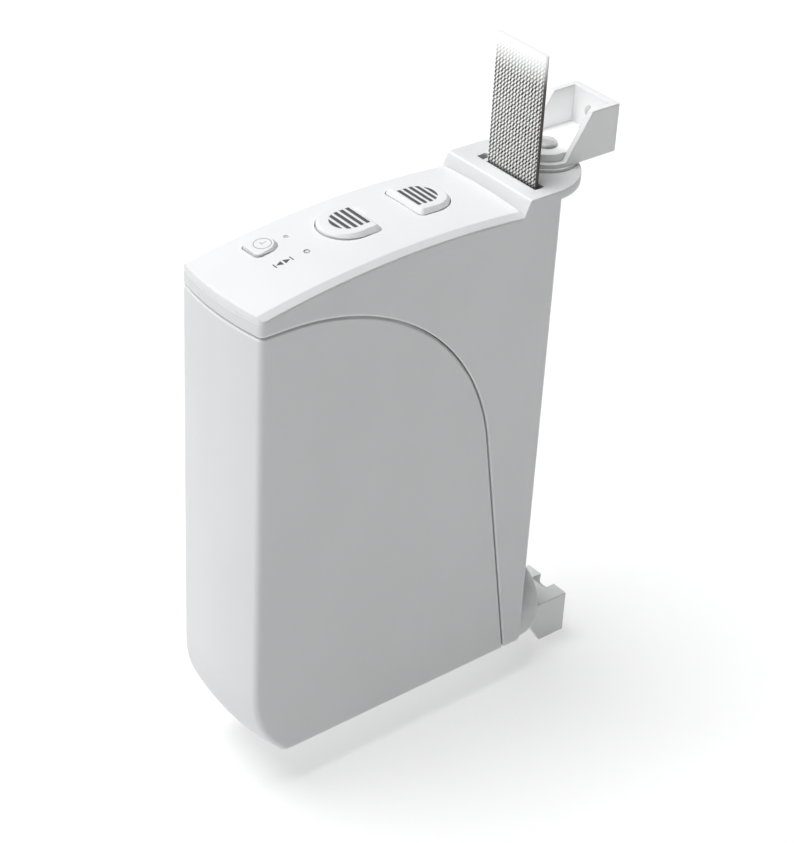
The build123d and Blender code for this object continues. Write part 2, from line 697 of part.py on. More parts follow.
# Main housing: upper band, side strips, rear wall, belt block and both ears
with BuildPart() as main_housing:
    add(OUTER)
    with BuildSketch(Plane.YZ):
        add(casing_side())
    extrude(amount=WIDTH, both=True, mode=Mode.INTERSECT)
    with BuildSketch(Plane.YZ):
        with BuildLine():
            Polyline(
                side_point(-2 * WALL, -WALL),
                side_point(SIDE_DEPTH - WALL, -WALL),
                side_point(SIDE_DEPTH - WALL, BLOCK_TOP - WALL),
                side_point(BLOCK_FRONT + WALL, BLOCK_TOP - WALL),
                side_point(BLOCK_FOOT + WALL, BLOCK_TOP - BLOCK_LIP - WALL),
                side_point(BLOCK_FOOT + WALL, BLOCK_TOP - 2 * BLOCK_LIP),
                side_point(BLOCK_FOOT, BLOCK_TOP - 2 * BLOCK_LIP),
                side_point(BLOCK_FOOT, FORM_TOP),
                side_point(-2 * WALL, FORM_TOP),
                close=True,
            )
        make_face()
    room = extrude(amount=WIDTH, both=True, mode=Mode.PRIVATE)
    add(CAVITY & room, mode=Mode.SUBTRACT)
    with BuildSketch(Plane.YZ):
        add(seam_side(SEAM_GAP))
    extrude(amount=WIDTH, both=True, mode=Mode.SUBTRACT)
    add(EAR)
    add(DOME)
    with BuildSketch(Plane.XY.offset(up(BLOCK_TOP - 2 * WALL))):
        with Locations((SLOT_X, back(SLOT_DEPTH))):
            RectangleRounded(SLOT_LONG, SLOT_WIDE, SLOT_CORNER)
    extrude(amount=4 * WALL, mode=Mode.SUBTRACT)
    with Locations((0, back(PIVOT_DEPTH), up(BLOCK_TOP))):
        Cylinder(PIN_R + RUN_CLEAR, 3 * (EAR_T + EAR_BOSS_H), mode=Mode.SUBTRACT)
    with Locations((0, back(PIVOT_DEPTH), up(EAR_RISE))):
        Cylinder(PIN_R + RUN_CLEAR, 2 * PIN_IN_DOME, mode=Mode.SUBTRACT)
        Cylinder(
            WASHER_R + SEAM_GAP, 2 * EAR_RISE,
            align=(Align.CENTER, Align.CENTER, Align.MAX), mode=Mode.SUBTRACT,
        )
    with Locations((0, back(SIDE_DEPTH), up(0))):
        Box(WIDTH, 2 * SWING_STEP, 2 * SWING_STEP, mode=Mode.SUBTRACT)
    for left, right in ((ROLLER_LEFT - LUG_T, ROLLER_LEFT), (ROLLER_RIGHT, INNER + WALL / 2)):
        with BuildSketch(Plane.YZ.offset(left)):
            with Locations(side_point(ROLLER_DEPTH, ROLLER_HEIGHT)):
                Circle(LUG_R)
            with BuildLine():
                Polyline(
                    side_point(ROLLER_DEPTH - LUG_R, ROLLER_HEIGHT),
                    side_point(ROLLER_DEPTH + LUG_R, ROLLER_HEIGHT),
                    side_point(SIDE_DEPTH - WALL, BLOCK_TOP - 3 * WALL),
                    side_point(SIDE_DEPTH - WALL, BLOCK_TOP - WALL / 2),
                    side_point(BLOCK_FRONT + WALL, BLOCK_TOP - WALL / 2),
                    side_point(BLOCK_FOOT + WALL / 2, BLOCK_TOP - BLOCK_LIP - WALL),
                    close=True,
                )
            make_face()
        extrude(amount=right - left)
    with BuildSketch(side_plane(ROLLER_LEFT - LUG_T, ROLLER_DEPTH, ROLLER_HEIGHT)):
        Circle(ROLLER_PIN_R)
    extrude(amount=INNER - ROLLER_LEFT + LUG_T, mode=Mode.SUBTRACT)
    with Locations(Location((INLET_X, back(SIDE_DEPTH), up(INLET_HEIGHT)), (90, 0, 0))):
        Cylinder(GROMMET_GROOVE, 4 * WALL, mode=Mode.SUBTRACT)
    for height in CHASSIS_SCREWS:
        with Locations(Location((CHASSIS_SCREW_X, back(SIDE_DEPTH), up(height)), (90, 0, 0))):
            Cylinder(SCREW_R + 8 * SCREW_CLEAR, 4 * WALL, mode=Mode.SUBTRACT)
main_housing.part.label = "main_housing"
export_step(main_housing.part, "parts/main_housing.step")

# Control panel: crowned lid with a skirt, holes for the buttons and posts for the board
with BuildPart() as control_panel:
    with BuildSketch(Plane.XY.offset(up(BOARD_HEIGHT))):
        add(casing_plan(WALL + PANEL_GAP, BLOCK_FOOT - PANEL_GAP))
        add(casing_plan(WALL + PANEL_GAP + SKIRT_T, BLOCK_FOOT - SKIRT_T), mode=Mode.SUBTRACT)
    extrude(amount=FORM_TOP - BOARD_HEIGHT)
    with BuildSketch(Plane.YZ):
        with Locations(side_point(CROWN_DEPTH, CROWN_CENTRE)):
            Circle(CROWN_R + PANEL_GAP)
            Circle(CROWN_R - SKIRT_DROP, mode=Mode.SUBTRACT)
    extrude(amount=WIDTH, both=True, mode=Mode.INTERSECT)
    add(LID)
    for x in (-POST_X, POST_X):
        for depth in POST_DEPTHS:
            with Locations((x, back(depth), up(BOARD_TOP))):
                Cylinder(
                    POST_R,
                    crown(depth) - BOARD_TOP + PANEL_T / 3,
                    align=(Align.CENTER, Align.CENTER, Align.MIN),
                )
            with Locations((x, back(depth), up(BOARD_TOP))):
                Cylinder(SCREW_R, 2 * BOARD_SCREW_DEEP, mode=Mode.SUBTRACT)
    with BuildSketch(Plane.XY.offset(up(BOARD_TOP))):
        add(key_outline(KEY_X, DOWN_DEPTH, KEY_R, DOWN_FLAT, KEY_CORNER + KEY_GAP))
        add(key_outline(KEY_X, UP_DEPTH, KEY_R, UP_FLAT, KEY_CORNER + KEY_GAP))
        add(key_outline(CLOCK_X, CLOCK_DEPTH, CLOCK_R, CLOCK_FLAT, CLOCK_CORNER + KEY_GAP))
        with Locations((SET_X, back(SET_DEPTH))):
            Circle(SET_R + KEY_GAP)
        with Locations((LIGHT_X, back(LIGHT_DEPTH))):
            Circle(LIGHT_R)
    extrude(amount=FORM_TOP - BOARD_HEIGHT, mode=Mode.SUBTRACT)
control_panel.part.label = "control_panel"
export_step(control_panel.part, "parts/control_panel.step")


# Buttons: a D shaped cap with sloped sides, a retaining rim under the panel and a stem,
# each over the plunger of its own switch
BUTTONS = (
    ("down", KEY_X, DOWN_DEPTH, KEY_R, DOWN_FLAT, KEY_RISE, KEY_CHAMFER, TALL_SWITCH, -1),
    ("up", KEY_X, UP_DEPTH, KEY_R, UP_FLAT, KEY_RISE, KEY_CHAMFER, TALL_SWITCH, 1),
    ("clock", CLOCK_X, CLOCK_DEPTH, CLOCK_R, CLOCK_FLAT, CLOCK_RISE, CLOCK_CHAMFER, LOW_SWITCH, 0),
)
for name, x, depth, radius, flat, rise, slope, switch, stripes in BUTTONS:
    corner = KEY_CORNER if stripes else CLOCK_CORNER
    toward = math.copysign(1, depth - flat)
    rim_top = min(crown(depth - radius - RIM), crown(depth + radius + RIM)) - RIM_CLEAR
    cap_plan = key_outline(x, depth, radius - KEY_GAP, flat + toward * KEY_GAP, corner)
    rim_plan = key_outline(x, depth, radius + RIM, flat - toward * RIM, corner + RIM)
    stem = rim_top - RIM_T - BOARD_TOP - switch - PLUNGER_OUT
    brow = crown(depth, PANEL_T)
    with BuildPart() as button:
        with BuildSketch(Plane.XY.offset(up(rim_top))):
            add(cap_plan)
        extrude(amount=brow - rim_top)
        with BuildSketch(Plane.XY.offset(up(brow))):
            add(cap_plan)
        extrude(amount=rise + CAP_SPARE, taper=math.degrees(math.atan(slope / rise)))
        with BuildSketch(Plane.YZ):
            with Locations(side_point(CROWN_DEPTH, CROWN_CENTRE)):
                Circle(CROWN_R + PANEL_T + rise)
        extrude(amount=WIDTH, both=True, mode=Mode.INTERSECT)
        for stripe in range(STRIPES * abs(stripes)):
            middle = flat + stripes * (STRIPE_FIRST + stripe * STRIPE_STEP)
            edge = middle - stripes * STRIPE_WIDE / 2
            wide = STRIPE_WIDE if stripe < STRIPES - 1 else STRIPE_R
            with BuildSketch(Plane.XY.offset(up(crown(middle, PANEL_T + rise)) - STRIPE_DEEP)):
                add(key_outline(x, depth, STRIPE_R, flat, KEY_CORNER))
                with Locations((x, back(edge + stripes * wide / 2))):
                    Rectangle(2 * STRIPE_R, wide, mode=Mode.INTERSECT)
            extrude(amount=2 * STRIPE_DEEP, mode=Mode.SUBTRACT)
        with BuildSketch(Plane.XY.offset(up(rim_top))):
            add(rim_plan)
        extrude(amount=-RIM_T)
        with Locations((x, back(depth), up(rim_top - RIM_T))):
            Cylinder(PLUNGER_R, stem, align=(Align.CENTER, Align.CENTER, Align.MAX))
    button.part.label = name + "_button"
    export_step(button.part, "parts/" + name + "_button.step")

    with BuildPart() as plunger:
        with Locations((x, back(depth), up(BOARD_TOP + switch - PLUNGER_IN))):
            Cylinder(
                PLUNGER_R, PLUNGER_IN + PLUNGER_OUT, align=(Align.CENTER, Align.CENTER, Align.MIN)
            )
    plunger.part.label = name + "_plunger"
    export_step(plunger.part, "parts/" + name + "_plunger.step")

# Setting button: a slim pin in a hole, pressed with a pen
set_rim = crown(SET_DEPTH) - RIM_CLEAR
with BuildPart() as set_button:
    with Locations((SET_X, back(SET_DEPTH), up(set_rim - RIM_T))):
        Cylinder(SET_R, set_rim - RIM_T - BOARD_TOP - LOW_SWITCH - PLUNGER_OUT,
                 align=(Align.CENTER, Align.CENTER, Align.MAX))
        Cylinder(SET_R + RIM, RIM_T, align=(Align.CENTER, Align.CENTER, Align.MIN))
        Cylinder(SET_R, RIM_T + RIM_CLEAR + PANEL_T - SET_SUNK,
                 align=(Align.CENTER, Align.CENTER, Align.MIN))
set_button.part.label = "set_button"
export_step(set_button.part, "parts/set_button.step")

with BuildPart() as set_plunger:
    with Locations((SET_X, back(SET_DEPTH), up(BOARD_TOP + LOW_SWITCH - PLUNGER_IN))):
        Cylinder(PLUNGER_R, PLUNGER_IN + PLUNGER_OUT,
                 align=(Align.CENTER, Align.CENTER, Align.MIN))
set_plunger.part.label = "set_plunger"
export_step(set_plunger.part, "parts/set_plunger.step")

# Switches: one body under each button
SWITCHES = (
    (KEY_X, DOWN_DEPTH, TALL_SWITCH, KEY_TRAVEL),
    (KEY_X, UP_DEPTH, TALL_SWITCH, KEY_TRAVEL),
    (CLOCK_X, CLOCK_DEPTH, LOW_SWITCH, CLOCK_TRAVEL),
    (SET_X, SET_DEPTH, LOW_SWITCH, SET_TRAVEL),
)
with BuildPart() as tact_switches:
    for x, depth, height, travel in SWITCHES:
        with Locations((x, back(depth), up(BOARD_TOP))):
            Box(SWITCH_SIDE, SWITCH_SIDE, height, align=(Align.CENTER, Align.CENTER, Align.MIN))
        with Locations((x, back(depth), up(BOARD_TOP + height))):
            Cylinder(PLUNGER_R + PLUNGER_CLEAR, 2 * (PLUNGER_IN + travel + PLUNGER_CLEAR),
                     mode=Mode.SUBTRACT)
tact_switches.part.label = "tact_switches"
export_step(tact_switches.part, "parts/tact_switches.step")

# Light guide and the lamp under it
with BuildPart() as light_guide:
    with Locations((LIGHT_X, back(LIGHT_DEPTH), up(BOARD_TOP + LAMP_H))):
        Cylinder(LIGHT_R - RUN_CLEAR, crown(LIGHT_DEPTH) + PANEL_T - RIM_CLEAR - BOARD_TOP - LAMP_H,
                 align=(Align.CENTER, Align.CENTER, Align.MIN))
    with Locations((LIGHT_X, back(LIGHT_DEPTH), up(crown(LIGHT_DEPTH - LIGHT_R - RIM)))):
        Cylinder(LIGHT_R + RIM, RIM_T, align=(Align.CENTER, Align.CENTER, Align.MAX))
light_guide.part.label = "light_guide"
export_step(light_guide.part, "parts/light_guide.step")

with BuildPart() as status_lamp:
    with Locations((LIGHT_X, back(LIGHT_DEPTH), up(BOARD_TOP))):
        Box(LAMP_W, LAMP_H, LAMP_H, align=(Align.CENTER, Align.CENTER, Align.MIN))
status_lamp.part.label = "status_lamp"
export_step(status_lamp.part, "parts/status_lamp.step")

# Circuit board with its parts below
with BuildPart() as control_board:
    with Locations((0, back((BOARD_FRONT + BOARD_REAR) / 2), up(BOARD_HEIGHT))):
        Box(2 * BOARD_HALF, BOARD_REAR - BOARD_FRONT, BOARD_T,
            align=(Align.CENTER, Align.CENTER, Align.MIN))
    fillet(control_board.edges().filter_by(Axis.Z), CORNER_R)
    for x in (-POST_X, POST_X):
        for depth in POST_DEPTHS:
            with Locations((x, back(depth), up(BOARD_TOP))):
                Cylinder(SCREW_R + SCREW_CLEAR, 3 * BOARD_T, mode=Mode.SUBTRACT)
control_board.part.label = "control_board"
export_step(control_board.part, "parts/control_board.step")

with BuildPart() as board_components:
    for x, depth, wide, long, tall in BOARD_BLOCKS:
        with Locations((x, back(depth), up(BOARD_HEIGHT))):
            Box(wide, long, tall, align=(Align.CENTER, Align.CENTER, Align.MAX))
    for x, depth, radius, tall in BOARD_CANS:
        with Locations((x, back(depth), up(BOARD_HEIGHT))):
            Cylinder(radius, tall, align=(Align.CENTER, Align.CENTER, Align.MAX))
board_components.part.label = "board_components"
export_step(board_components.part, "parts/board_components.step")

with BuildPart() as board_screws:
    for x in (-POST_X, POST_X):
        for depth in POST_DEPTHS:
            add(flat_screw(x, depth, BOARD_HEIGHT, (180, 0, 0), BOARD_SHANK))
board_screws.part.label = "board_screws"
export_step(board_screws.part, "parts/board_screws.step")

# Chassis: gear side plate with a flange to the rear wall, a shelf and two motor saddles
with BuildPart() as chassis_frame:
    with BuildSketch(Plane.YZ.offset(CHASSIS_OUT)) as plate:
        with BuildLine():
            Polyline(*[side_point(*point) for point in CHASSIS_OUTLINE], close=True)
        make_face()
        fillet(plate.vertices(), CORNER_R)
        for depth, height, long, tall in CHASSIS_WINDOWS:
            with Locations(side_point(depth, height)):
                RectangleRounded(long, tall, CORNER_R, mode=Mode.SUBTRACT)
    extrude(amount=CHASSIS_T)
    with Locations((CHASSIS_OUT, back(SIDE_DEPTH - WALL), up(CHASSIS_FLANGE_LOW))):
        Box(CHASSIS_FLANGE_W, WALL, CHASSIS_FLANGE_H, align=(Align.MIN, Align.MAX, Align.MIN))
    with Locations((CHASSIS_IN, back(POWER_FRONT), up(SHELF_HEIGHT))):
        Box(INNER + POWER_W / 2, POWER_LONG, SHELF_T, align=(Align.MIN, Align.MIN, Align.MIN))
    with BuildSketch(side_plane(CHASSIS_IN, DRUM_DEPTH, DRUM_HEIGHT)):
        Circle(AXLE_BOSS_R)
    extrude(amount=RING_LEFT - CHASSIS_IN - RIM_CLEAR)
    for depth, height in GEARBOX_SCREWS:
        with BuildSketch(side_plane(CHASSIS_IN, depth, height)):
            Circle(GEARBOX_POST_R)
        extrude(amount=-GEARBOX_HALF - CHASSIS_IN)
    for depth in SADDLE_PLACES:
        with Locations((CHASSIS_IN, back(depth), up(SADDLE_LOW))):
            Box(SADDLE_RIGHT - CHASSIS_IN, SADDLE_WIDE, SADDLE_TOP - SADDLE_LOW,
                align=(Align.MIN, Align.MIN, Align.MIN))
    with Locations((SADDLE_RIGHT, back(SADDLE_PLACES[-1]), up(SADDLE_LOW))):
        Box(SADDLE_EAR_T, SADDLE_EAR_LONG, SADDLE_EAR_TOP - SADDLE_LOW,
            align=(Align.MAX, Align.MIN, Align.MIN))
    with Locations(Location((0, back(0), up(MOTOR_HEIGHT)), (90, 0, 0))):
        Cylinder(MOTOR_R + SADDLE_CLEAR, 4 * MOTOR_LONG, mode=Mode.SUBTRACT)
    for radius, depth, height in (
        (AXLE_R, DRUM_DEPTH, DRUM_HEIGHT),
        (GEAR_PIN_R, IDLER_DEPTH, IDLER_HEIGHT),
        (DRIVE_SHAFT_R + RUN_CLEAR, DRIVE_DEPTH, DRIVE_HEIGHT),
    ):
        with BuildSketch(side_plane(-HALF, depth, height)):
            Circle(radius)
        extrude(amount=HALF, mode=Mode.SUBTRACT)
    for depth, height in GEARBOX_SCREWS:
        with BuildSketch(side_plane(CHASSIS_OUT, depth, height)):
            Circle(SCREW_R + SCREW_CLEAR)
        extrude(amount=HALF, mode=Mode.SUBTRACT)
        with BuildSketch(side_plane(CHASSIS_OUT, depth, height)):
            Circle(SCREW_HEAD_R + SCREW_CLEAR)
        extrude(amount=SCREW_HEAD_H, mode=Mode.SUBTRACT)
    for height in CHASSIS_SCREWS:
        with Locations(Location((CHASSIS_SCREW_X, back(SIDE_DEPTH), up(height)), (90, 0, 0))):
            Cylinder(SCREW_R + SCREW_CLEAR, 6 * WALL, mode=Mode.SUBTRACT)
    with Locations((0, back(CLAMP_DEPTH), up(SADDLE_TOP - SADDLE_CLEAR))):
        Box(2 * HALF, CLAMP_WIDE + 2 * SADDLE_CLEAR, CLAMP_T + 2 * SADDLE_CLEAR,
            align=(Align.CENTER, Align.CENTER, Align.MIN), mode=Mode.SUBTRACT)
chassis_frame.part.label = "chassis_frame"
export_step(chassis_frame.part, "parts/chassis_frame.step")

with BuildPart() as chassis_screws:
    for height in CHASSIS_SCREWS:
        add(flat_screw(CHASSIS_SCREW_X, SIDE_DEPTH, height, (-90, 0, 0), CHASSIS_SHANK))
chassis_screws.part.label = "chassis_screws"
export_step(chassis_screws.part, "parts/chassis_screws.step")

# Power supply, potted in its own case on the shelf
with BuildPart() as power_module:
    with Locations((0, back(POWER_FRONT), up(SHELF_HEIGHT + SHELF_T))):
        Box(POWER_W, POWER_LONG, POWER_H, align=(Align.CENTER, Align.MIN, Align.MIN))
    fillet(power_module.edges().filter_by(Axis.Z), CORNER_R)
power_module.part.label = "power_module"
export_step(power_module.part, "parts/power_module.step")

# Motor in its saddles, with the clamp over it
with BuildPart() as drive_motor:
    with BuildSketch(Plane.XZ.offset(-back(MOTOR_FRONT))):
        with Locations((0, up(MOTOR_HEIGHT))):
            Circle(MOTOR_R)
    extrude(amount=-MOTOR_LONG)
    chamfer(drive_motor.edges().filter_by(GeomType.CIRCLE), CORNER_R / 2)
    with BuildSketch(Plane.XZ.offset(-back(MOTOR_FRONT - WALL / 2))):
        with Locations((0, up(MOTOR_HEIGHT))):
            Circle(MOTOR_NECK_R)
    extrude(amount=-(GEARBOX_FRONT - MOTOR_FRONT + WALL / 2))
drive_motor.part.label = "drive_motor"
export_step(drive_motor.part, "parts/drive_motor.step")

with BuildPart() as motor_clamp:
    with BuildSketch(Plane.XZ.offset(-back(CLAMP_DEPTH + CLAMP_WIDE / 2))) as ring:
        with Locations((0, up(MOTOR_HEIGHT))):
            Circle(MOTOR_R + SADDLE_CLEAR + CLAMP_T)
        with Locations((0, up(SADDLE_TOP))):
            Rectangle(4 * MOTOR_R, 2 * MOTOR_R, align=(Align.CENTER, Align.MAX), mode=Mode.SUBTRACT)
            Rectangle(2 * CLAMP_REACH, CLAMP_T, align=(Align.CENTER, Align.MIN))
        with Locations((0, up(MOTOR_HEIGHT))):
            Circle(MOTOR_R + SADDLE_CLEAR, mode=Mode.SUBTRACT)
    extrude(amount=CLAMP_WIDE)
motor_clamp.part.label = "motor_clamp"
export_step(motor_clamp.part, "parts/motor_clamp.step")

# Closed right angle gearbox
with BuildPart() as gearbox:
    with Locations((0, back(GEARBOX_FRONT), up(GEARBOX_LOW))):
        Box(2 * GEARBOX_HALF, GEARBOX_REAR - GEARBOX_FRONT, GEARBOX_TOP - GEARBOX_LOW,
            align=(Align.CENTER, Align.MIN, Align.MIN))
    fillet(gearbox.edges().filter_by(Axis.X), CORNER_R)
    with BuildSketch(side_plane(-GEARBOX_HALF, DRIVE_DEPTH, DRIVE_HEIGHT)):
        Circle(DRIVE_SHAFT_R + RUN_CLEAR)
    extrude(amount=GEARBOX_HALF, mode=Mode.SUBTRACT)
    for depth, height in GEARBOX_SCREWS:
        with BuildSketch(side_plane(-GEARBOX_HALF, depth, height)):
            Circle(SCREW_R + SCREW_CLEAR)
        extrude(amount=GEARBOX_HALF, mode=Mode.SUBTRACT)
gearbox.part.label = "gearbox"
export_step(gearbox.part, "parts/gearbox.step")

with BuildPart() as gearbox_screws:
    for depth, height in GEARBOX_SCREWS:
        add(flat_screw(CHASSIS_OUT + SCREW_HEAD_H, depth, height, (0, -90, 0), GEARBOX_SHANK))
gearbox_screws.part.label = "gearbox_screws"
export_step(gearbox_screws.part, "parts/gearbox_screws.step")

# Drive pinion on the gearbox's output shaft
mesh_turn = 90 - DRIVE_LEAN
with BuildPart() as drive_pinion:
    with BuildSketch(side_plane(WHEEL_LEFT, DRIVE_DEPTH, DRIVE_HEIGHT)):
        add(gear_outline(DRIVE_TEETH, WHEEL_MODULE, mesh_turn + 180 + 180 / DRIVE_TEETH))
    extrude(amount=WHEEL_LAYER)
    with BuildSketch(side_plane(CHASSIS_OUT + SADDLE_CLEAR, DRIVE_DEPTH, DRIVE_HEIGHT)):
        Circle(DRIVE_SHAFT_R)
    extrude(amount=-CHASSIS_OUT - SADDLE_CLEAR - WALL)
drive_pinion.part.label = "drive_pinion"
export_step(drive_pinion.part, "parts/drive_pinion.step")

# Idler: a large wheel driven by the pinion and a small one that drives the drum
ring_turn = 90 - IDLER_LEAN
with BuildPart() as idler_gear:
    with BuildSketch(side_plane(WHEEL_LEFT, IDLER_DEPTH, IDLER_HEIGHT)):
        add(gear_outline(IDLER_WHEEL_TEETH, WHEEL_MODULE, mesh_turn))
    extrude(amount=WHEEL_LAYER)
    with BuildSketch(side_plane(WHEEL_RIGHT, IDLER_DEPTH, IDLER_HEIGHT)):
        add(gear_outline(IDLER_PINION_TEETH, DRUM_MODULE, ring_turn + 180 + 180 / IDLER_PINION_TEETH))
    extrude(amount=RING_RIGHT - WHEEL_RIGHT)
    with BuildSketch(side_plane(-HALF, IDLER_DEPTH, IDLER_HEIGHT)):
        Circle(GEAR_PIN_R + RUN_CLEAR)
    extrude(amount=HALF, mode=Mode.SUBTRACT)
idler_gear.part.label = "idler_gear"
export_step(idler_gear.part, "parts/idler_gear.step")

with BuildPart() as idler_pin:
    with BuildSketch(side_plane(CHASSIS_OUT, IDLER_DEPTH, IDLER_HEIGHT)):
        Circle(GEAR_PIN_R)
    extrude(amount=RING_RIGHT + RIM_CLEAR - CHASSIS_OUT)
    with BuildSketch(side_plane(RING_RIGHT + RIM_CLEAR, IDLER_DEPTH, IDLER_HEIGHT)):
        Circle(GEAR_PIN_HEAD_R)
    extrude(amount=GEAR_PIN_HEAD_T)
idler_pin.part.label = "idler_pin"
export_step(idler_pin.part, "parts/idler_pin.step")

# Drum: toothed disc, hub, outer flange, bushes and screws, on an axle fixed in the chassis
with BuildPart() as drum_axle:
    with BuildSketch(side_plane(CHASSIS_OUT, DRUM_DEPTH, DRUM_HEIGHT)):
        Circle(AXLE_R)
    extrude(amount=FLANGE_RIGHT - CHASSIS_OUT)
    with BuildSketch(side_plane(HUB_RIGHT + RIM_CLEAR, DRUM_DEPTH, DRUM_HEIGHT)):
        Circle(AXLE_R)
        Circle(AXLE_R - CLIP_T, mode=Mode.SUBTRACT)
    extrude(amount=CLIP_T, mode=Mode.SUBTRACT)
drum_axle.part.label = "drum_axle"
export_step(drum_axle.part, "parts/drum_axle.step")

with BuildPart() as axle_clip:
    with BuildSketch(side_plane(HUB_RIGHT + RIM_CLEAR, DRUM_DEPTH, DRUM_HEIGHT)):
        Circle(CLIP_R)
        Circle(AXLE_R - CLIP_T, mode=Mode.SUBTRACT)
        with Locations((0, -CLIP_R)):
            Rectangle(AXLE_R, 2 * CLIP_R, mode=Mode.SUBTRACT)
    extrude(amount=CLIP_T)
axle_clip.part.label = "axle_clip"
export_step(axle_clip.part, "parts/axle_clip.step")

with BuildPart() as drum_bushes:
    for left in (RING_LEFT, HUB_RIGHT - BUSH_LONG):
        with BuildSketch(side_plane(left, DRUM_DEPTH, DRUM_HEIGHT)):
            Circle(BUSH_R)
            Circle(AXLE_R + RUN_CLEAR, mode=Mode.SUBTRACT)
        extrude(amount=BUSH_LONG)
drum_bushes.part.label = "drum_bushes"
export_step(drum_bushes.part, "parts/drum_bushes.step")

with BuildPart() as drum_gear:
    with BuildSketch(side_plane(RING_LEFT, DRUM_DEPTH, DRUM_HEIGHT)):
        add(gear_outline(DRUM_TEETH, DRUM_MODULE, ring_turn))
        Circle(BUSH_R, mode=Mode.SUBTRACT)
        with PolarLocations((HUB_R + FLANGE_R - RIM_WIDTH) / 2, 6):
            SlotOverall(
                FLANGE_R - HUB_R - 2 * RIM_WIDTH, 2 * RIM_WIDTH, mode=Mode.SUBTRACT
            )
        with PolarLocations(HUB_BOSS_CIRCLE, 3):
            Circle(SCREW_R + SCREW_CLEAR, mode=Mode.SUBTRACT)
    extrude(amount=RING_LAYER)
drum_gear.part.label = "drum_gear"
export_step(drum_gear.part, "parts/drum_gear.step")

with BuildPart() as drum_hub:
    with BuildSketch(side_plane(RING_RIGHT, DRUM_DEPTH, DRUM_HEIGHT)):
        Circle(HUB_R)
        Circle(HUB_R - HUB_WALL, mode=Mode.SUBTRACT)
        Circle(HUB_TUBE_R)
        with PolarLocations(HUB_BOSS_CIRCLE, 3):
            Circle(HUB_BOSS_R)
        with PolarLocations((HUB_TUBE_R + HUB_R - WALL) / 2, 6, start_angle=30):
            Rectangle(HUB_R - HUB_TUBE_R, WALL)
        Circle(BUSH_R, mode=Mode.SUBTRACT)
        with PolarLocations(HUB_BOSS_CIRCLE, 3):
            Circle(SCREW_R + SCREW_CLEAR, mode=Mode.SUBTRACT)
    extrude(amount=HUB_RIGHT - RING_RIGHT)
drum_hub.part.label = "drum_hub"
export_step(drum_hub.part, "parts/drum_hub.step")

with BuildPart() as drum_flange:
    with BuildSketch(side_plane(HUB_RIGHT, DRUM_DEPTH, DRUM_HEIGHT)):
        Circle(FLANGE_R)
        Circle(CLIP_R + 2 * WIND_CLEAR, mode=Mode.SUBTRACT)
        with PolarLocations((HUB_R + FLANGE_R - RIM_WIDTH) / 2, 6):
            SlotOverall(
                FLANGE_R - HUB_R - 2 * RIM_WIDTH, 2 * RIM_WIDTH, mode=Mode.SUBTRACT
            )
        with PolarLocations(HUB_BOSS_CIRCLE, 3):
            Circle(SCREW_R + SCREW_CLEAR, mode=Mode.SUBTRACT)
    extrude(amount=FLANGE_T)
drum_flange.part.label = "drum_flange"
export_step(drum_flange.part, "parts/drum_flange.step")

with BuildPart() as drum_screws:
    for step in range(3):
        angle = math.radians(120 * step)
        depth = DRUM_DEPTH + HUB_BOSS_CIRCLE * math.cos(angle)
        height = DRUM_HEIGHT + HUB_BOSS_CIRCLE * math.sin(angle)
        add(flat_screw(FLANGE_RIGHT, depth, height, (0, 90, 0), DRUM_SHANK))
        add(flat_screw(RING_LEFT, depth, height, (0, -90, 0), DRUM_SHANK))
drum_screws.part.label = "drum_screws"
export_step(drum_screws.part, "parts/drum_screws.step")

# Belt: where it leaves the winding, seen from +X, measured from the roller's axis
reach = math.hypot(ROLLER_DEPTH - DRUM_DEPTH, ROLLER_HEIGHT - DRUM_HEIGHT)
lean = math.atan2(ROLLER_HEIGHT - DRUM_HEIGHT, ROLLER_DEPTH - DRUM_DEPTH)
leave = lean - math.acos((DRUM_PATH - ROLLER_PATH) / reach)
lap = math.radians(BELT_LAP)


def belt_side(shift):
    """one face of the belt: points and arcs from the free end down to the winding"""
    roller = ROLLER_PATH + shift
    drum = DRUM_PATH + shift

    def around(depth, height, radius, angle):
        return side_point(depth + radius * math.cos(angle), height + radius * math.sin(angle))

    first = [around(ROLLER_DEPTH, ROLLER_HEIGHT, roller, leave * part) for part in (0, 0.5, 1)]
    last = [
        around(DRUM_DEPTH, DRUM_HEIGHT, drum, leave - lap * part) for part in (0, 0.5, 1)
    ]
    return first, last


# Wound belt: a flat spiral of half circles whose centres alternate by half the pitch
with BuildPart() as belt_winding:
    spiral_plane = Plane(
        origin=(BELT_X - BELT_W / 2, back(DRUM_DEPTH), up(DRUM_HEIGHT)),
        x_dir=(0, math.cos(leave), math.sin(leave)),
        z_dir=(1, 0, 0),
    )
    with BuildSketch(spiral_plane):
        with BuildLine():
            for start in (WIND_IN, WIND_IN + BELT_T):
                for turn in range(TURNS):
                    wide = start + turn * TURN_PITCH
                    wider = wide + TURN_PITCH / 2
                    ThreePointArc((wide, 0), (0, wide), (-wide, 0))
                    ThreePointArc(
                        (-wide, 0), (TURN_PITCH / 2, -wider), (wide + TURN_PITCH, 0)
                    )
            Line((WIND_IN, 0), (WIND_IN + BELT_T, 0))
            Line(
                (WIND_IN + TURNS * TURN_PITCH, 0), (WIND_IN + TURNS * TURN_PITCH + BELT_T, 0)
            )
        make_face()
    extrude(amount=BELT_W)
belt_winding.part.label = "belt_winding"
export_step(belt_winding.part, "parts/belt_winding.step")


def spiral_point(start, turn, step):
    """a point on one face of the winding, in steps of 2 degrees around a turn"""
    angle = math.radians(2 * step)
    shift = TURN_PITCH / 2 if step > 90 else 0
    radius = start + turn * TURN_PITCH + shift
    return (shift + radius * math.cos(angle), radius * math.sin(angle))


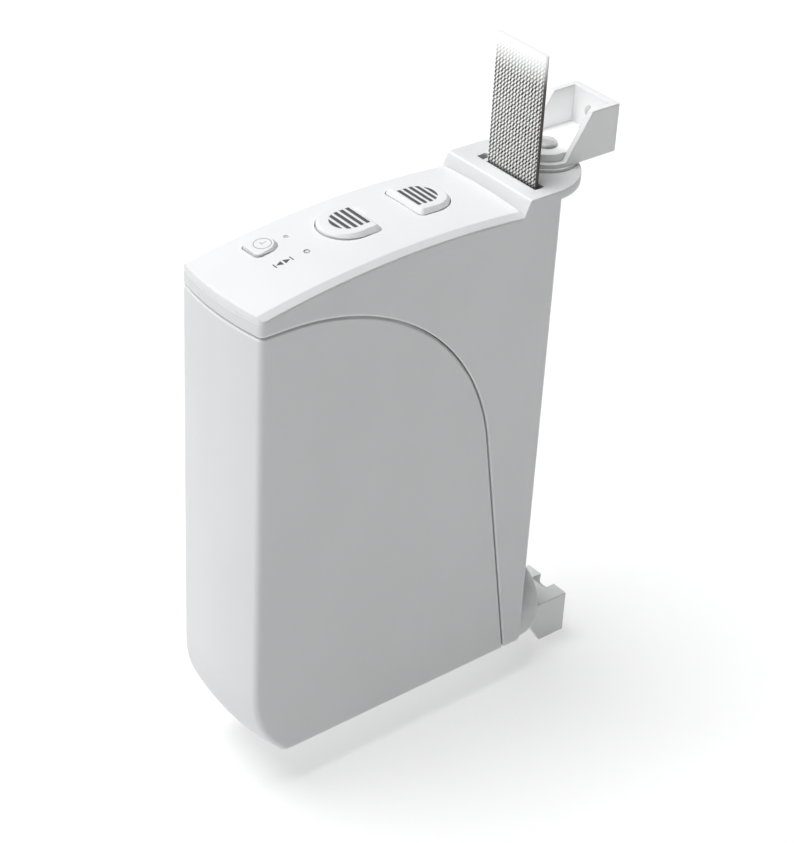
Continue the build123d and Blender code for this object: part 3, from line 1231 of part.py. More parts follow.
# Least gap of the winding to itself, measured between points of neighbouring turns
least = WIND_OUT
for turn in range(TURNS - 1):
    outer = [spiral_point(WIND_IN + BELT_T, turn, step) for step in range(180)]
    inner = [spiral_point(WIND_IN, turn + 1, step) for step in range(180)]
    least = min(least, min(math.dist(a, b) for a in outer for b in inner))
print("least gap of the winding to itself:", round(least, 3), "mm")

near_roller, near_drum = belt_side(-BELT_T / 2)
far_roller, far_drum = belt_side(BELT_T / 2)
belt_end = up(BLOCK_TOP + BELT_STUB)
with BuildPart() as belt_strap:
    with BuildSketch(Plane.YZ.offset(BELT_X - BELT_W / 2)):
        with BuildLine():
            Line((near_roller[0][0], belt_end), near_roller[0])
            ThreePointArc(*near_roller)
            Line(near_roller[2], near_drum[0])
            ThreePointArc(*near_drum)
            Line(near_drum[2], far_drum[2])
            ThreePointArc(*far_drum)
            Line(far_drum[0], far_roller[2])
            ThreePointArc(*far_roller)
            Line(far_roller[0], (far_roller[0][0], belt_end))
            Line((far_roller[0][0], belt_end), (near_roller[0][0], belt_end))
        make_face()
    extrude(amount=BELT_W)
belt_strap.part.label = "belt_strap"
export_step(belt_strap.part, "parts/belt_strap.step")

# Guide roller and its pin
with BuildPart() as guide_roller:
    with BuildSketch(side_plane(ROLLER_LEFT + ROLLER_PLAY, ROLLER_DEPTH, ROLLER_HEIGHT)):
        Circle(ROLLER_R)
    extrude(amount=ROLLER_RIGHT - ROLLER_LEFT - 2 * ROLLER_PLAY)
    for left in (ROLLER_LEFT + ROLLER_PLAY, ROLLER_RIGHT - ROLLER_PLAY - ROLLER_RIM_T):
        with BuildSketch(side_plane(left, ROLLER_DEPTH, ROLLER_HEIGHT)):
            Circle(ROLLER_RIM_R)
        extrude(amount=ROLLER_RIM_T)
    with BuildSketch(side_plane(-HALF, ROLLER_DEPTH, ROLLER_HEIGHT)):
        Circle(ROLLER_PIN_R + RUN_CLEAR)
    extrude(amount=WIDTH, mode=Mode.SUBTRACT)
guide_roller.part.label = "guide_roller"
export_step(guide_roller.part, "parts/guide_roller.step")

with BuildPart() as roller_pin:
    with BuildSketch(side_plane(ROLLER_LEFT - LUG_T, ROLLER_DEPTH, ROLLER_HEIGHT)):
        Circle(ROLLER_PIN_R)
    extrude(amount=INNER - ROLLER_LEFT + LUG_T)
roller_pin.part.label = "roller_pin"
export_step(roller_pin.part, "parts/roller_pin.step")

# Mains terminals on the rear wall and the grommet of the cable inlet
with BuildPart() as terminal_block:
    with Locations((0, back(SIDE_DEPTH - WALL), up(TERMINAL_LOW))):
        Box(TERMINAL_W, TERMINAL_DEEP, TERMINAL_H, align=(Align.CENTER, Align.MAX, Align.MIN))
    for step in (-1, 0, 1):
        x = step * TERMINAL_W / 3
        with Locations((x, back(SIDE_DEPTH - WALL - TERMINAL_DEEP / 2), up(TERMINAL_LOW + TERMINAL_H))):
            Cylinder(SCREW_R + SCREW_CLEAR, TERMINAL_H, mode=Mode.SUBTRACT)
        with Locations(Location((x, back(SIDE_DEPTH - WALL - TERMINAL_DEEP),
                                 up(TERMINAL_LOW + TERMINAL_H / 3)), (90, 0, 0))):
            Cylinder(TERMINAL_HOLE_R, TERMINAL_DEEP, mode=Mode.SUBTRACT)
terminal_block.part.label = "terminal_block"
export_step(terminal_block.part, "parts/terminal_block.step")

with BuildPart() as terminal_screws:
    for step in (-1, 0, 1):
        add(flat_screw(step * TERMINAL_W / 3, SIDE_DEPTH - WALL - TERMINAL_DEEP / 2,
                       TERMINAL_LOW + TERMINAL_H, (0, 0, 0), TERMINAL_SHANK))
terminal_screws.part.label = "terminal_screws"
export_step(terminal_screws.part, "parts/terminal_screws.step")

with BuildPart() as cable_grommet:
    with BuildSketch(Plane.YZ.offset(INLET_X)):
        with BuildLine():
            Polyline(
                side_point(SIDE_DEPTH - WALL - GROMMET_LIP, INLET_HEIGHT + INLET_R),
                side_point(SIDE_DEPTH - WALL - GROMMET_LIP, INLET_HEIGHT + GROMMET_R),
                side_point(SIDE_DEPTH - WALL, INLET_HEIGHT + GROMMET_R),
                side_point(SIDE_DEPTH - WALL, INLET_HEIGHT + GROMMET_GROOVE),
                side_point(SIDE_DEPTH, INLET_HEIGHT + GROMMET_GROOVE),
                side_point(SIDE_DEPTH, INLET_HEIGHT + GROMMET_R),
                side_point(SIDE_DEPTH + GROMMET_LIP, INLET_HEIGHT + GROMMET_R - GROMMET_LIP / 2),
                side_point(SIDE_DEPTH + GROMMET_LIP, INLET_HEIGHT + INLET_R),
                close=True,
            )
        make_face()
    revolve(axis=Axis((INLET_X, 0, up(INLET_HEIGHT)), (0, 1, 0)), revolution_arc=360)
cable_grommet.part.label = "cable_grommet"
export_step(cable_grommet.part, "parts/cable_grommet.step")

# Wall side: the same bracket twice, the lower one upside down, with pins and washers
with BuildPart() as wall_bracket_top:
    add(BRACKET.moved(Location((0, 0, up(UPPER_BASE)))))
wall_bracket_top.part.label = "wall_bracket_top"
export_step(wall_bracket_top.part, "parts/wall_bracket_top.step")

with BuildPart() as wall_bracket_bottom:
    add(BRACKET.mirror(Plane.XY).moved(Location((0, 0, up(LOWER_BASE)))))
wall_bracket_bottom.part.label = "wall_bracket_bottom"
export_step(wall_bracket_bottom.part, "parts/wall_bracket_bottom.step")

top_grip = BRACKET_DECK + WASHER_T + EAR_T + EAR_BOSS_H
top_shank = top_grip + SWIVEL_PLAY + RETAINER_T + PIN_END_CLEAR
bottom_shank = BRACKET_DECK + WASHER_T + PIN_IN_DOME - PIN_END_CLEAR
with BuildPart() as swivel_pin_top:
    add(pin_form(top_shank).moved(Location((0, -PIVOT_TO_WALL, up(UPPER_BASE) + BRACKET_DECK))))
swivel_pin_top.part.label = "swivel_pin_top"
export_step(swivel_pin_top.part, "parts/swivel_pin_top.step")

with BuildPart() as swivel_pin_bottom:
    add(
        pin_form(bottom_shank)
        .mirror(Plane.XY)
        .moved(Location((0, -PIVOT_TO_WALL, up(LOWER_BASE) - BRACKET_DECK)))
    )
swivel_pin_bottom.part.label = "swivel_pin_bottom"
export_step(swivel_pin_bottom.part, "parts/swivel_pin_bottom.step")

for name, height in (("swivel_washer_top", BLOCK_TOP + SWIVEL_PLAY), ("swivel_washer_bottom", LOWER_BASE)):
    with BuildPart() as washer:
        with Locations((0, -PIVOT_TO_WALL, up(height))):
            Cylinder(WASHER_R, WASHER_T - SWIVEL_PLAY,
                     align=(Align.CENTER, Align.CENTER, Align.MIN))
            Cylinder(PIN_R, 4 * WASHER_T, mode=Mode.SUBTRACT)
    washer.part.label = name
    export_step(washer.part, "parts/" + name + ".step")

with BuildPart() as pin_retainer:
    with Locations((0, -PIVOT_TO_WALL, up(BLOCK_TOP - EAR_T - EAR_BOSS_H - SWIVEL_PLAY))):
        Cylinder(RETAINER_R, RETAINER_T, align=(Align.CENTER, Align.CENTER, Align.MAX))
        Cylinder(PIN_R, 4 * RETAINER_T, mode=Mode.SUBTRACT)
pin_retainer.part.label = "pin_retainer"
export_step(pin_retainer.part, "parts/pin_retainer.step")
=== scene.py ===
import json
import math

import bmesh
import bpy
from mathutils import Matrix, Vector


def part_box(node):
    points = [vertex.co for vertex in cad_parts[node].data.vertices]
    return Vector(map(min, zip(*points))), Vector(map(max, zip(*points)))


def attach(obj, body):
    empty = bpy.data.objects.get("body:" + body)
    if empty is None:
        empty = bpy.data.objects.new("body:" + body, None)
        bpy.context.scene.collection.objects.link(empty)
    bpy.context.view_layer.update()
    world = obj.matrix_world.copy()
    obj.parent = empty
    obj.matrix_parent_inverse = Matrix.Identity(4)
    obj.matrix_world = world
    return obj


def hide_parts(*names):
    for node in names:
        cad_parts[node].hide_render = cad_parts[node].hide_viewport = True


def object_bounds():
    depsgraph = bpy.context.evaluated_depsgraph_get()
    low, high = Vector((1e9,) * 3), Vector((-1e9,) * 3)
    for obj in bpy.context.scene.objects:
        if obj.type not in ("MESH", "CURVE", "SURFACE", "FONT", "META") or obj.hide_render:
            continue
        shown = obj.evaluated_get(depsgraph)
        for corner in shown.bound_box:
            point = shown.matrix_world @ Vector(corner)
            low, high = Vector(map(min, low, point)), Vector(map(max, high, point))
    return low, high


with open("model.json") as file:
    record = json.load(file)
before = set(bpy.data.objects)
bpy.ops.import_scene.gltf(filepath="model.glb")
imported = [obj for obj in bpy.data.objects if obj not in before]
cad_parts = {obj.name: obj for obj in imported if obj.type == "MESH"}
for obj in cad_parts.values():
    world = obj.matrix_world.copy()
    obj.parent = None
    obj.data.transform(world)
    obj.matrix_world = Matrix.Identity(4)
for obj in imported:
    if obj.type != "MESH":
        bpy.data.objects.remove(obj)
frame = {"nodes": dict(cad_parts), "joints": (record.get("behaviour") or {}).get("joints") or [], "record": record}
cad_box = [list(corner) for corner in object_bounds()]

MM = 0.001

# Sizes of the winder, in millimetres
FRONT_BOW = 2.2
HALF = 20.0
CROWN_DEPTH = 65.0
CROWN_HEIGHT = 170.3
CROWN_R = 328.0
PANEL_T = 2.6
PANEL_RISE = 1.8
PANEL_CHAMFER = 2.0
KEY_X = -2.1
KEY_RISE = 1.4
KEY_DEPTHS = {"down": 46.1, "up": 73.7}
STRIPE_MIDDLE = 59.9
STRIPE_FIRST = 9.75
STRIPE_STEP = 2.2
STRIPE_WIDE = 1.3
STRIPE_R = 5.4
STRIPE_SHRINK = 0.03
STRIPE_SUNK = 0.03
STRIPE_FILL = 0.1
STRIPES = 5
CLOCK_X = -8.3
CLOCK_DEPTH = 20.1
CLOCK_RISE = 0.8
CLOCK_RING_R = 2.8
CLOCK_LINE = 0.26
CLOCK_HAND = ((-0.9, -0.2), (0.1, -0.4), (-0.1, 1.5))
SIGN_X = 2.8
SIGN_HALF = 1.05
SIGN_BARS = (16.7, 22.6)
SIGN_BAR_W = 0.4
SIGN_ARROWS = ((17.15, 19.3), (22.15, 20.0))
PRINT_LIFT = 0.03
BELT_W = 22.8
BELT_T = 1.3
BELT_ROUND = 0.35
WIND_IN = 20.15
TURNS = 9
TURN_PITCH = 1.9
LAP_GAP = 0.3
BELT_LAP = 40.0
THREAD_COLUMN = 1.4
THREAD_ROW = 1.4
STITCH_LEAN = 0.58
STITCH_HALF = (0.20, 0.40)
STITCH_REACH = (0.48, 0.70)
ROW_WANDER = 0.8
SLOT_SHADE = 1.6
FADE_LONG = 12.0
RIM_WIDE = 1.1
FLATS = (0, 4)

# The photograph's camera: its place in metres, its directions, its lens in millimetres
CAMERA_AT = (0.45826, -0.45669, 0.49611)
CAMERA_RIGHT = (0.61642, 0.78605, 0.04625)
CAMERA_UP = (-0.45594, 0.30843, 0.83486)
CAMERA_LENS = 95.72
SENSOR_HIGH = 36.0

# The light: where it comes from, its strength, and the lamp's place in the bracket in millimetres
SKY_FROM = (-0.70, -0.60, 0.40)
SKY_RANGE = (-0.2, 0.8, 0.0, 0.6)
SUN_FROM = (-0.15, -0.29, 1.0)
SUN_POWER = 3.0
SUN_ANGLE = 40.0
LAMP_FROM = (1.0, -0.35, 0.05)
LAMP_POWER = 0.0009
LAMP_SIZE = 10.0
LAMP_ASIDE = 3.0
LAMP_DOWN = 4.0
LAMP_BACK = 0.45

# The stage, in metres, and its glow
FLOOR_R = 6.0
FLOOR_DROP = 0.0005
FLOOR_GLOW = 0.48
DOME_R = 5.9

# Where depth, height and the moving bodies start, taken from the frame
FRONT_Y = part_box("front_cover")[0].y + FRONT_BOW * MM
BOTTOM_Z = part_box("front_cover")[0].z
BELT_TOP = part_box("belt_strap")[1].z
SLOT_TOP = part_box("main_housing")[1].z
JOINTS = {joint["name"]: joint for joint in frame["joints"]}
BOW_R = ((HALF - PANEL_CHAMFER) ** 2 + (PANEL_T - PANEL_RISE) ** 2) / (2 * (PANEL_T - PANEL_RISE))


def place(x, depth, height):
    """a point from its distance across, from the front and from the bottom"""
    return Vector((x * MM, FRONT_Y + depth * MM, BOTTOM_Z + height * MM))


def crown_top(x, depth, rise=0.0):
    """height of the crowned panel, or of a key that stands over it"""
    sag = BOW_R - math.sqrt(BOW_R**2 - x**2) if rise == 0 else 0.0
    radius = CROWN_R + PANEL_T + rise - sag
    return CROWN_HEIGHT - CROWN_R + math.sqrt(radius**2 - (depth - CROWN_DEPTH) ** 2)


class Finish:
    """a material and short calls for the nodes that make it"""

    def __init__(self, name, **sockets):
        self.material = bpy.data.materials.new(name)
        self.material.use_nodes = True
        self.tree = self.material.node_tree
        self.shader = self.tree.nodes["Principled BSDF"]
        for label, value in sockets.items():
            self.shader.inputs[label.replace("_", " ")].default_value = value
        self.coordinates = self.node("ShaderNodeTexCoord").outputs["Object"]

    def node(self, kind, **settings):
        made = self.tree.nodes.new(kind)
        for key, value in settings.items():
            setattr(made, key, value)
        return made

    def feed(self, socket, value):
        if isinstance(value, bpy.types.NodeSocket):
            self.tree.links.new(value, socket)
        else:
            socket.default_value = value

    def maths(self, operation, *values):
        made = self.node("ShaderNodeMath", operation=operation)
        for socket, value in zip(made.inputs, values):
            self.feed(socket, value)
        return made.outputs[0]

    def ramp(self, value, start, end, low=0.0, high=1.0):
        """value's way from start to end as a smooth step from low to high"""
        made = self.node("ShaderNodeMapRange", interpolation_type="SMOOTHSTEP")
        for socket, given in zip(made.inputs, (value, start, end, low, high)):
            self.feed(socket, given)
        return made.outputs[0]

    def noise(self, scale, detail=2.0, stretch=(1.0, 1.0, 1.0)):
        mapping = self.node("ShaderNodeMapping")
        mapping.inputs["Scale"].default_value = stretch
        self.feed(mapping.inputs["Vector"], self.coordinates)
        made = self.node("ShaderNodeTexNoise")
        made.inputs["Scale"].default_value = scale
        made.inputs["Detail"].default_value = detail
        self.feed(made.inputs["Vector"], mapping.outputs[0])
        return made.outputs["Fac"]

    def mix(self, share, first, second):
        made = self.node("ShaderNodeMix", data_type="RGBA")
        colours = [socket for socket in made.inputs if socket.type == "RGBA"]
        self.feed(made.inputs["Factor"], share)
        self.feed(colours[0], first)
        self.feed(colours[1], second)
        return [socket for socket in made.outputs if socket.type == "RGBA"][0]

    def height(self):
        """how high a point stands"""
        split = self.node("ShaderNodeSeparateXYZ")
        self.feed(split.inputs[0], self.coordinates)
        return split.outputs[2]

    def colour(self, value):
        self.feed(self.shader.inputs["Base Color"], value)

    def rough(self, value):
        self.feed(self.shader.inputs["Roughness"], value)

    def bump(self, height, distance, strength=1.0, soften=0.0):
        """small relief, over edges that look rounded by soften"""
        made = self.node("ShaderNodeBump")
        made.inputs["Strength"].default_value = strength
        made.inputs["Distance"].default_value = distance
        self.feed(made.inputs["Height"], height)
        if soften:
            edge = self.node("ShaderNodeBevel", samples=6)
            edge.inputs["Radius"].default_value = soften
            self.feed(made.inputs["Normal"], edge.outputs[0])
        self.feed(self.shader.inputs["Normal"], made.outputs[0])


def tint(red, green, blue):
    return (red, green, blue, 1.0)


def shade(colour, factor):
    return (colour[0] * factor, colour[1] * factor, colour[2] * factor, 1.0)


def moulded(name, colour, rough, soften=0.0, grain=0.25, mottle=0.97, rim_highlight=0.0, **sockets):
    """moulded plastic: a fine skin, faint flow marks, softly rounded edges and a painted highlight along the rims
    """
    made = Finish(name, **sockets)
    cloud = made.noise(28.0, 3.0, (1.0, 1.0, 0.5))
    skin = made.noise(2400.0, 3.0)
    body = made.mix(made.ramp(cloud, 0.35, 0.7), colour, shade(colour, mottle))
    if rim_highlight:
        # painted highlight: the colour turns white along the edges, as if the rounded edges caught the light
        round_off = made.node("ShaderNodeBevel", samples=6)
        round_off.inputs["Radius"].default_value = RIM_WIDE * MM
        alike = made.node("ShaderNodeVectorMath", operation="DOT_PRODUCT")
        made.feed(alike.inputs[0], round_off.outputs[0])
        made.feed(alike.inputs[1], made.node("ShaderNodeNewGeometry").outputs["Normal"])
        body = made.mix(made.ramp(alike.outputs["Value"], 0.99, 0.92, 0.0, rim_highlight), body, tint(1.0, 1.0, 1.0))
    made.colour(body)
    spread = made.maths("MULTIPLY_ADD", cloud, 0.12, rough - 0.06)
    made.rough(made.maths("MULTIPLY_ADD", skin, 0.08, spread))
    made.bump(skin, 0.00003, grain, soften)
    return made.material


def metal(name, colour, rough, brush=(1.0, 1.0, 1.0), mottle=0.75, relief=0.3, bare=1.0):
    """metal with drawn or cast marks and a few darker patches, less bare where it is coated"""
    made = Finish(name, Metallic=bare)
    patches = made.noise(260.0, 4.0)
    lines = made.noise(1500.0, 2.0, brush)
    made.colour(made.mix(made.ramp(patches, 0.35, 0.65), colour, shade(colour, mottle)))
    spread = made.maths("MULTIPLY_ADD", patches, 0.25, rough - 0.12)
    made.rough(made.maths("MULTIPLY_ADD", lines, 0.15, spread))
    made.bump(lines, 0.00004, relief, 0.0002)
    return made.material


def circuit(name, base, track):
    """solder resist over copper tracks"""
    made = Finish(name, Roughness=0.35)
    cells = made.node("ShaderNodeTexVoronoi", feature="DISTANCE_TO_EDGE")
    cells.inputs["Scale"].default_value = 260.0
    made.feed(cells.inputs["Vector"], made.coordinates)
    lines = made.ramp(cells.outputs["Distance"], 0.05, 0.12)
    made.colour(made.mix(lines, track, base))
    made.bump(lines, 0.00003, 0.4)
    return made.material


def woven(name, low, high):
    """belt webbing: slanted dark and light stitches in columns, paler towards its end"""
    made = Finish(name, Roughness=0.82)
    split = made.node("ShaderNodeSeparateXYZ")
    made.feed(split.inputs[0], made.node("ShaderNodeUVMap", uv_map="weave").outputs[0])
    across, along = split.outputs[0], split.outputs[1]
    wander = made.noise(300.0, 3.0)
    fuzz = made.noise(3200.0, 2.0)
    uneven = made.ramp(made.noise(700.0, 1.0), 0.36, 0.60, 0.4, 1.0)

    def stitch(shift):
        """how much a slanted stitch covers this point, 0 to 1"""
        column = made.maths("MULTIPLY_ADD", across, 1 / THREAD_COLUMN, shift)
        row = made.maths("MULTIPLY", along, 1 / THREAD_ROW)
        row = made.maths("MULTIPLY_ADD", wander, ROW_WANDER, row)
        beside = made.maths("MULTIPLY_ADD", made.maths("FRACT", column), THREAD_COLUMN, -THREAD_COLUMN / 2)
        above = made.maths("MULTIPLY_ADD", made.maths("FRACT", row), THREAD_ROW, -THREAD_ROW / 2)
        lean = made.maths("MULTIPLY", above, STITCH_LEAN)
        off = made.maths("ABSOLUTE", made.maths("SUBTRACT", beside, lean))
        narrow = made.ramp(off, *STITCH_HALF, 1.0, 0.0)
        short = made.ramp(made.maths("ABSOLUTE", above), *STITCH_REACH, 1.0, 0.0)
        return made.maths("MULTIPLY", narrow, short)

    dark = made.maths("MULTIPLY", stitch(0.0), uneven)
    light = stitch(0.5)
    speckle = made.ramp(fuzz, 0.36, 0.64)
    ground = made.mix(speckle, tint(0.10, 0.099, 0.096), tint(0.42, 0.416, 0.41))
    stitched = made.mix(dark, ground, tint(0.008, 0.008, 0.008))
    stitched = made.mix(light, stitched, tint(0.78, 0.78, 0.77))
    height = made.height()
    pale = made.ramp(height, low, high, 0.0, 0.9)
    # painted shadow: the belt turns near black just above the slot's edge, where the slot shades it
    painted_slot_shadow = made.ramp(height, SLOT_TOP, SLOT_TOP + SLOT_SHADE * MM, 0.15, 1.0)
    stitched = made.mix(painted_slot_shadow, tint(0.02, 0.019, 0.018), stitched)
    made.colour(made.mix(pale, stitched, tint(0.93, 0.93, 0.93)))
    relief = made.maths("SUBTRACT", light, dark)
    made.bump(made.maths("MULTIPLY_ADD", fuzz, 0.3, relief), 0.00004, 0.4)
    return made.material


def belt_edge(name, low, high):
    """the belt's edge faces: yarn across the thickness, coloured near black as painted shade"""
    made = Finish(name, Roughness=0.85)
    yarn = made.noise(900.0, 2.0, (1.0, 1.0, 0.35))
    # painted shade: the yarn's dark tones stand for the shade on the belt's edge faces
    shaded_cord = made.mix(yarn, tint(0.03, 0.026, 0.024), tint(0.12, 0.105, 0.098))
    made.colour(made.mix(made.ramp(made.height(), low, high, 0.0, 0.85), shaded_cord, tint(0.9, 0.9, 0.9)))
    made.bump(yarn, 0.0001, 0.7)
    return made.material


WHITE = tint(0.77, 0.775, 0.78)
FINISHES = {
    # painted shade: the shell gets a darker grey than the panel's white of the same plastic, to darken its shaded
    # sides
    "shell": moulded("shell_plastic", tint(0.70, 0.705, 0.712), 0.42, 0.001, rim_highlight=0.9),
    "panel": moulded("panel_plastic", WHITE, 0.34, 0.0005),
    "buttons": moulded("button_plastic", WHITE, 0.36, 0.0004, 0.15),
    "set_pin": moulded("set_pin_plastic", tint(0.68, 0.685, 0.69), 0.4),
    "brackets": moulded("bracket_plastic", tint(0.83, 0.833, 0.835), 0.40, 0.0006),
    "washer": moulded("washer_nylon", tint(0.84, 0.84, 0.82), 0.45, 0.0002),
    "steel_pin": metal("pin_steel", tint(0.60, 0.60, 0.60), 0.6, mottle=0.7, relief=0.4, bare=0.2),
    "screw": metal("zinc_screw", tint(0.68, 0.69, 0.70), 0.32),
    "chassis": metal("zinc_plate", tint(0.66, 0.68, 0.70), 0.38, (1.0, 0.05, 1.0), 0.85),
    "gear": moulded("gear_nylon", tint(0.80, 0.78, 0.70), 0.45, 0.0001),
    "drum": moulded("drum_plastic", tint(0.045, 0.047, 0.05), 0.5, 0.0002),
    "brass": metal("brass", tint(0.78, 0.60, 0.30), 0.3),
    "bush": moulded("bush_nylon", tint(0.72, 0.70, 0.62), 0.4),
    "motor": metal("motor_can", tint(0.60, 0.61, 0.62), 0.34, (1.0, 1.0, 0.05), 0.88),
    "gearbox": moulded("gearbox_plastic", tint(0.03, 0.03, 0.033), 0.5, 0.0002),
    "board": circuit("solder_resist", tint(0.012, 0.10, 0.045), tint(0.03, 0.22, 0.09)),
    "component": moulded("part_resin", tint(0.03, 0.035, 0.045), 0.38, 0.0001),
    "power": moulded("potting_resin", tint(0.04, 0.042, 0.05), 0.55, 0.0002),
    "terminal": moulded("terminal_nylon", tint(0.16, 0.17, 0.18), 0.48, 0.0001),
    "lens": moulded("lens_plastic", tint(0.74, 0.745, 0.75), 0.15, Transmission_Weight=0.2),
    "lamp": moulded("lamp_resin", tint(0.75, 0.8, 0.72), 0.2, Transmission_Weight=0.3),
    "grommet": moulded("grommet_rubber", tint(0.02, 0.02, 0.02), 0.7, 0.0002, 0.5),
    "belt": woven("webbing", BELT_TOP - FADE_LONG * MM, BELT_TOP),
}
EDGE = belt_edge("webbing_edge", BELT_TOP - FADE_LONG * MM, BELT_TOP)
INLAY = moulded("stripe_paint", tint(0.085, 0.086, 0.09), 0.5, 0.0, 0.4)
INK = moulded("grey_ink", tint(0.34, 0.34, 0.35), 0.6, 0.0, 0.4)
SLOTS = {part["node"]: part["material_slot"] for part in frame["record"]["subparts"]}
for node, piece in frame["nodes"].items():
    piece.data.materials.clear()
    piece.data.materials.append(FINISHES[SLOTS[node]])


def shown(name, data):
    """an object of its own in the scene"""
    piece = bpy.data.objects.new(name, data)
    bpy.context.scene.collection.objects.link(piece)
    return piece


def from_form(name, form, *finish):
    """an object whose mesh is a bmesh's faces"""
    data = bpy.data.meshes.new(name)
    form.to_mesh(data)
    form.free()
    for material in finish:
        data.materials.append(material)
    return shown(name, data)


def new_piece(name, form, body, finish):
    """a piece of its own from a bmesh, riding on a body"""
    bmesh.ops.recalc_face_normals(form, faces=form.faces)
    piece = from_form(name, form, *finish)
    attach(piece, body)
    return piece


def ribbon(name, path, body, node):
    """belt webbing of constant section along a path of centre points and outward normals"""
    wide, thick, edge = BELT_W / 2, BELT_T / 2, BELT_ROUND
    section = [
        (-wide + edge, -thick), (wide - edge, -thick), (wide, -thick + edge), (wide, thick - edge),
        (wide - edge, thick), (-wide + edge, thick), (-wide, thick - edge), (-wide, -thick + edge),
    ]
    middle = (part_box(node)[0].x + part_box(node)[1].x) / 2
    form = bmesh.new()
    weave = form.loops.layers.uv.new("weave")
    rings = []
    along = [0.0]
    for here, there in zip(path, path[1:]):
        along.append(along[-1] + (there[0] - here[0]).length / MM)
    for centre, outward in path:
        ring = []
        for across, through in section:
            point = centre + outward * through * MM
            ring.append(form.verts.new((middle + across * MM, point.y, point.z)))
        rings.append(ring)
    for step in range(len(rings) - 1):
        for side in range(len(section)):
            following = (side + 1) % len(section)
            corners = (
                (rings[step][side], section[side][0], along[step]),
                (rings[step][following], section[following][0], along[step]),
                (rings[step + 1][following], section[following][0], along[step + 1]),
                (rings[step + 1][side], section[side][0], along[step + 1]),
            )
            face = form.faces.new([corner[0] for corner in corners])
            face.smooth = True
            face.material_index = 0 if side in FLATS else 1
            for loop, corner in zip(face.loops, corners):
                loop[weave].uv = (corner[1], corner[2])
    for ring in (rings[0], rings[-1]):
        form.faces.new(ring).material_index = 1
    piece = new_piece(name, form, body, (FINISHES["belt"], EDGE))
    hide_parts(node)
    return piece


def turned(centre, radius, angle):
    """a point and outward normal on a circle round an X axis"""
    outward = Vector((0.0, math.cos(angle), math.sin(angle)))
    return centre + outward * radius, outward


DRUM = Vector(JOINTS["drum_spin"]["pos_m"])
ROLLER = Vector(JOINTS["roller_spin"]["pos_m"])
ROLLER_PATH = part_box("belt_strap")[1].y - BELT_T / 2 * MM - ROLLER.y
WIND_OUT = WIND_IN + TURNS * TURN_PITCH + BELT_T
DRUM_PATH = (WIND_OUT + LAP_GAP + BELT_T / 2) * MM
SPAN = ROLLER - DRUM
LEAVE = math.atan2(SPAN.z, SPAN.y) - math.acos((DRUM_PATH - ROLLER_PATH) / math.hypot(SPAN.y, SPAN.z))


def wound_belt():
    """the belt on the drum: half circles whose centres alternate by half the pitch"""
    steps = 40
    path = []
    for turn in range(TURNS):
        first = (WIND_IN + turn * TURN_PITCH + BELT_T / 2) * MM
        aside = DRUM + Vector((0.0, math.cos(LEAVE), math.sin(LEAVE))) * TURN_PITCH / 2 * MM
        for step in range(steps):
            path.append(turned(DRUM, first, LEAVE + math.pi * step / steps))
        for step in range(steps):
            angle = LEAVE + math.pi * (1 + step / steps)
            path.append(turned(aside, first + TURN_PITCH / 2 * MM, angle))
    path.append(turned(DRUM, first + TURN_PITCH * MM, LEAVE))
    return ribbon("webbing_on_drum", path, "drum", "belt_winding")


def free_belt():
    """the belt from the winding over the guide roller and out of the slot"""
    path = []
    bends = 24
    for step in range(bends + 1):
        path.append(turned(DRUM, DRUM_PATH, LEAVE - math.radians(BELT_LAP) * (1 - step / bends)))
    for step in range(bends + 1):
        path.append(turned(ROLLER, ROLLER_PATH, LEAVE * (1 - step / bends)))
    low, outward = path[-1]
    path.append((Vector((low.x, low.y, BELT_TOP)), outward))
    return ribbon("webbing", path, "housing", "belt_strap")


def printed(name, outline, surface, body, thick, finish):
    """a flat mark: its outline of (x, depth) points laid on a crowned surface"""
    form = bmesh.new()
    for closed in outline:
        top = [form.verts.new(place(x, depth, surface(x, depth))) for x, depth in closed]
        low = [form.verts.new(place(x, depth, surface(x, depth) - thick)) for x, depth in closed]
        form.faces.new(top)
        form.faces.new(low)
        for here in range(len(closed)):
            following = (here + 1) % len(closed)
            form.faces.new((top[here], top[following], low[following], low[here]))
    return new_piece(name, form, body, (finish,))


def stripe_outline(near, far, centre, toward):
    """a bar across a key between two depths, its ends on the D that all five bars fill"""
    steps = 16
    right = []
    left = []
    for step in range(steps + 1):
        along = near + (far - near) * step / steps
        past = max((along - centre) * toward, 0.0)
        reach = math.sqrt(max(STRIPE_R**2 - past**2, 0.04)) - STRIPE_SHRINK
        right.append((KEY_X + reach, along))
        left.append((KEY_X - reach, along))
    return right + left[::-1]


def key_stripes(key, toward):
    """five dark bars sunk in a key's top, the last one as far as the D's round end"""
    bars = []
    centre = KEY_DEPTHS[key]
    for stripe in range(STRIPES):
        middle = STRIPE_MIDDLE + toward * (STRIPE_FIRST + stripe * STRIPE_STEP)
        near = middle - toward * (STRIPE_WIDE / 2 - STRIPE_SHRINK)
        far = middle + toward * (STRIPE_WIDE / 2 - STRIPE_SHRINK)
        if stripe == STRIPES - 1:
            far = centre + toward * (STRIPE_R - STRIPE_SHRINK)
        bars.append(stripe_outline(near, far, centre, toward))

    def surface(x, depth):
        return crown_top(x, depth, KEY_RISE) - STRIPE_SUNK

    return printed(f"{key}_stripes", bars, surface, f"{key}_key", STRIPE_FILL, INLAY)


def ring_outline(x, depth, inner, outer):
    """a ring as quarter pieces, each a closed outline"""
    pieces = []
    steps = 10
    for quarter in range(4):
        angles = [math.pi / 2 * (quarter + step / steps) for step in range(steps + 1)]
        out = [(x + outer * math.cos(a), depth + outer * math.sin(a)) for a in angles]
        back = [(x + inner * math.cos(a), depth + inner * math.sin(a)) for a in reversed(angles)]
        pieces.append(out + back)
    return pieces


def stroke_outline(start, end, wide):
    """a straight line of a given width as a closed outline"""
    along = Vector(end) - Vector(start)
    beside = Vector((-along.y, along.x)).normalized() * wide / 2
    corners = (Vector(start) + beside, Vector(end) + beside, Vector(end) - beside, Vector(start) - beside)
    return [tuple(corner) for corner in corners]


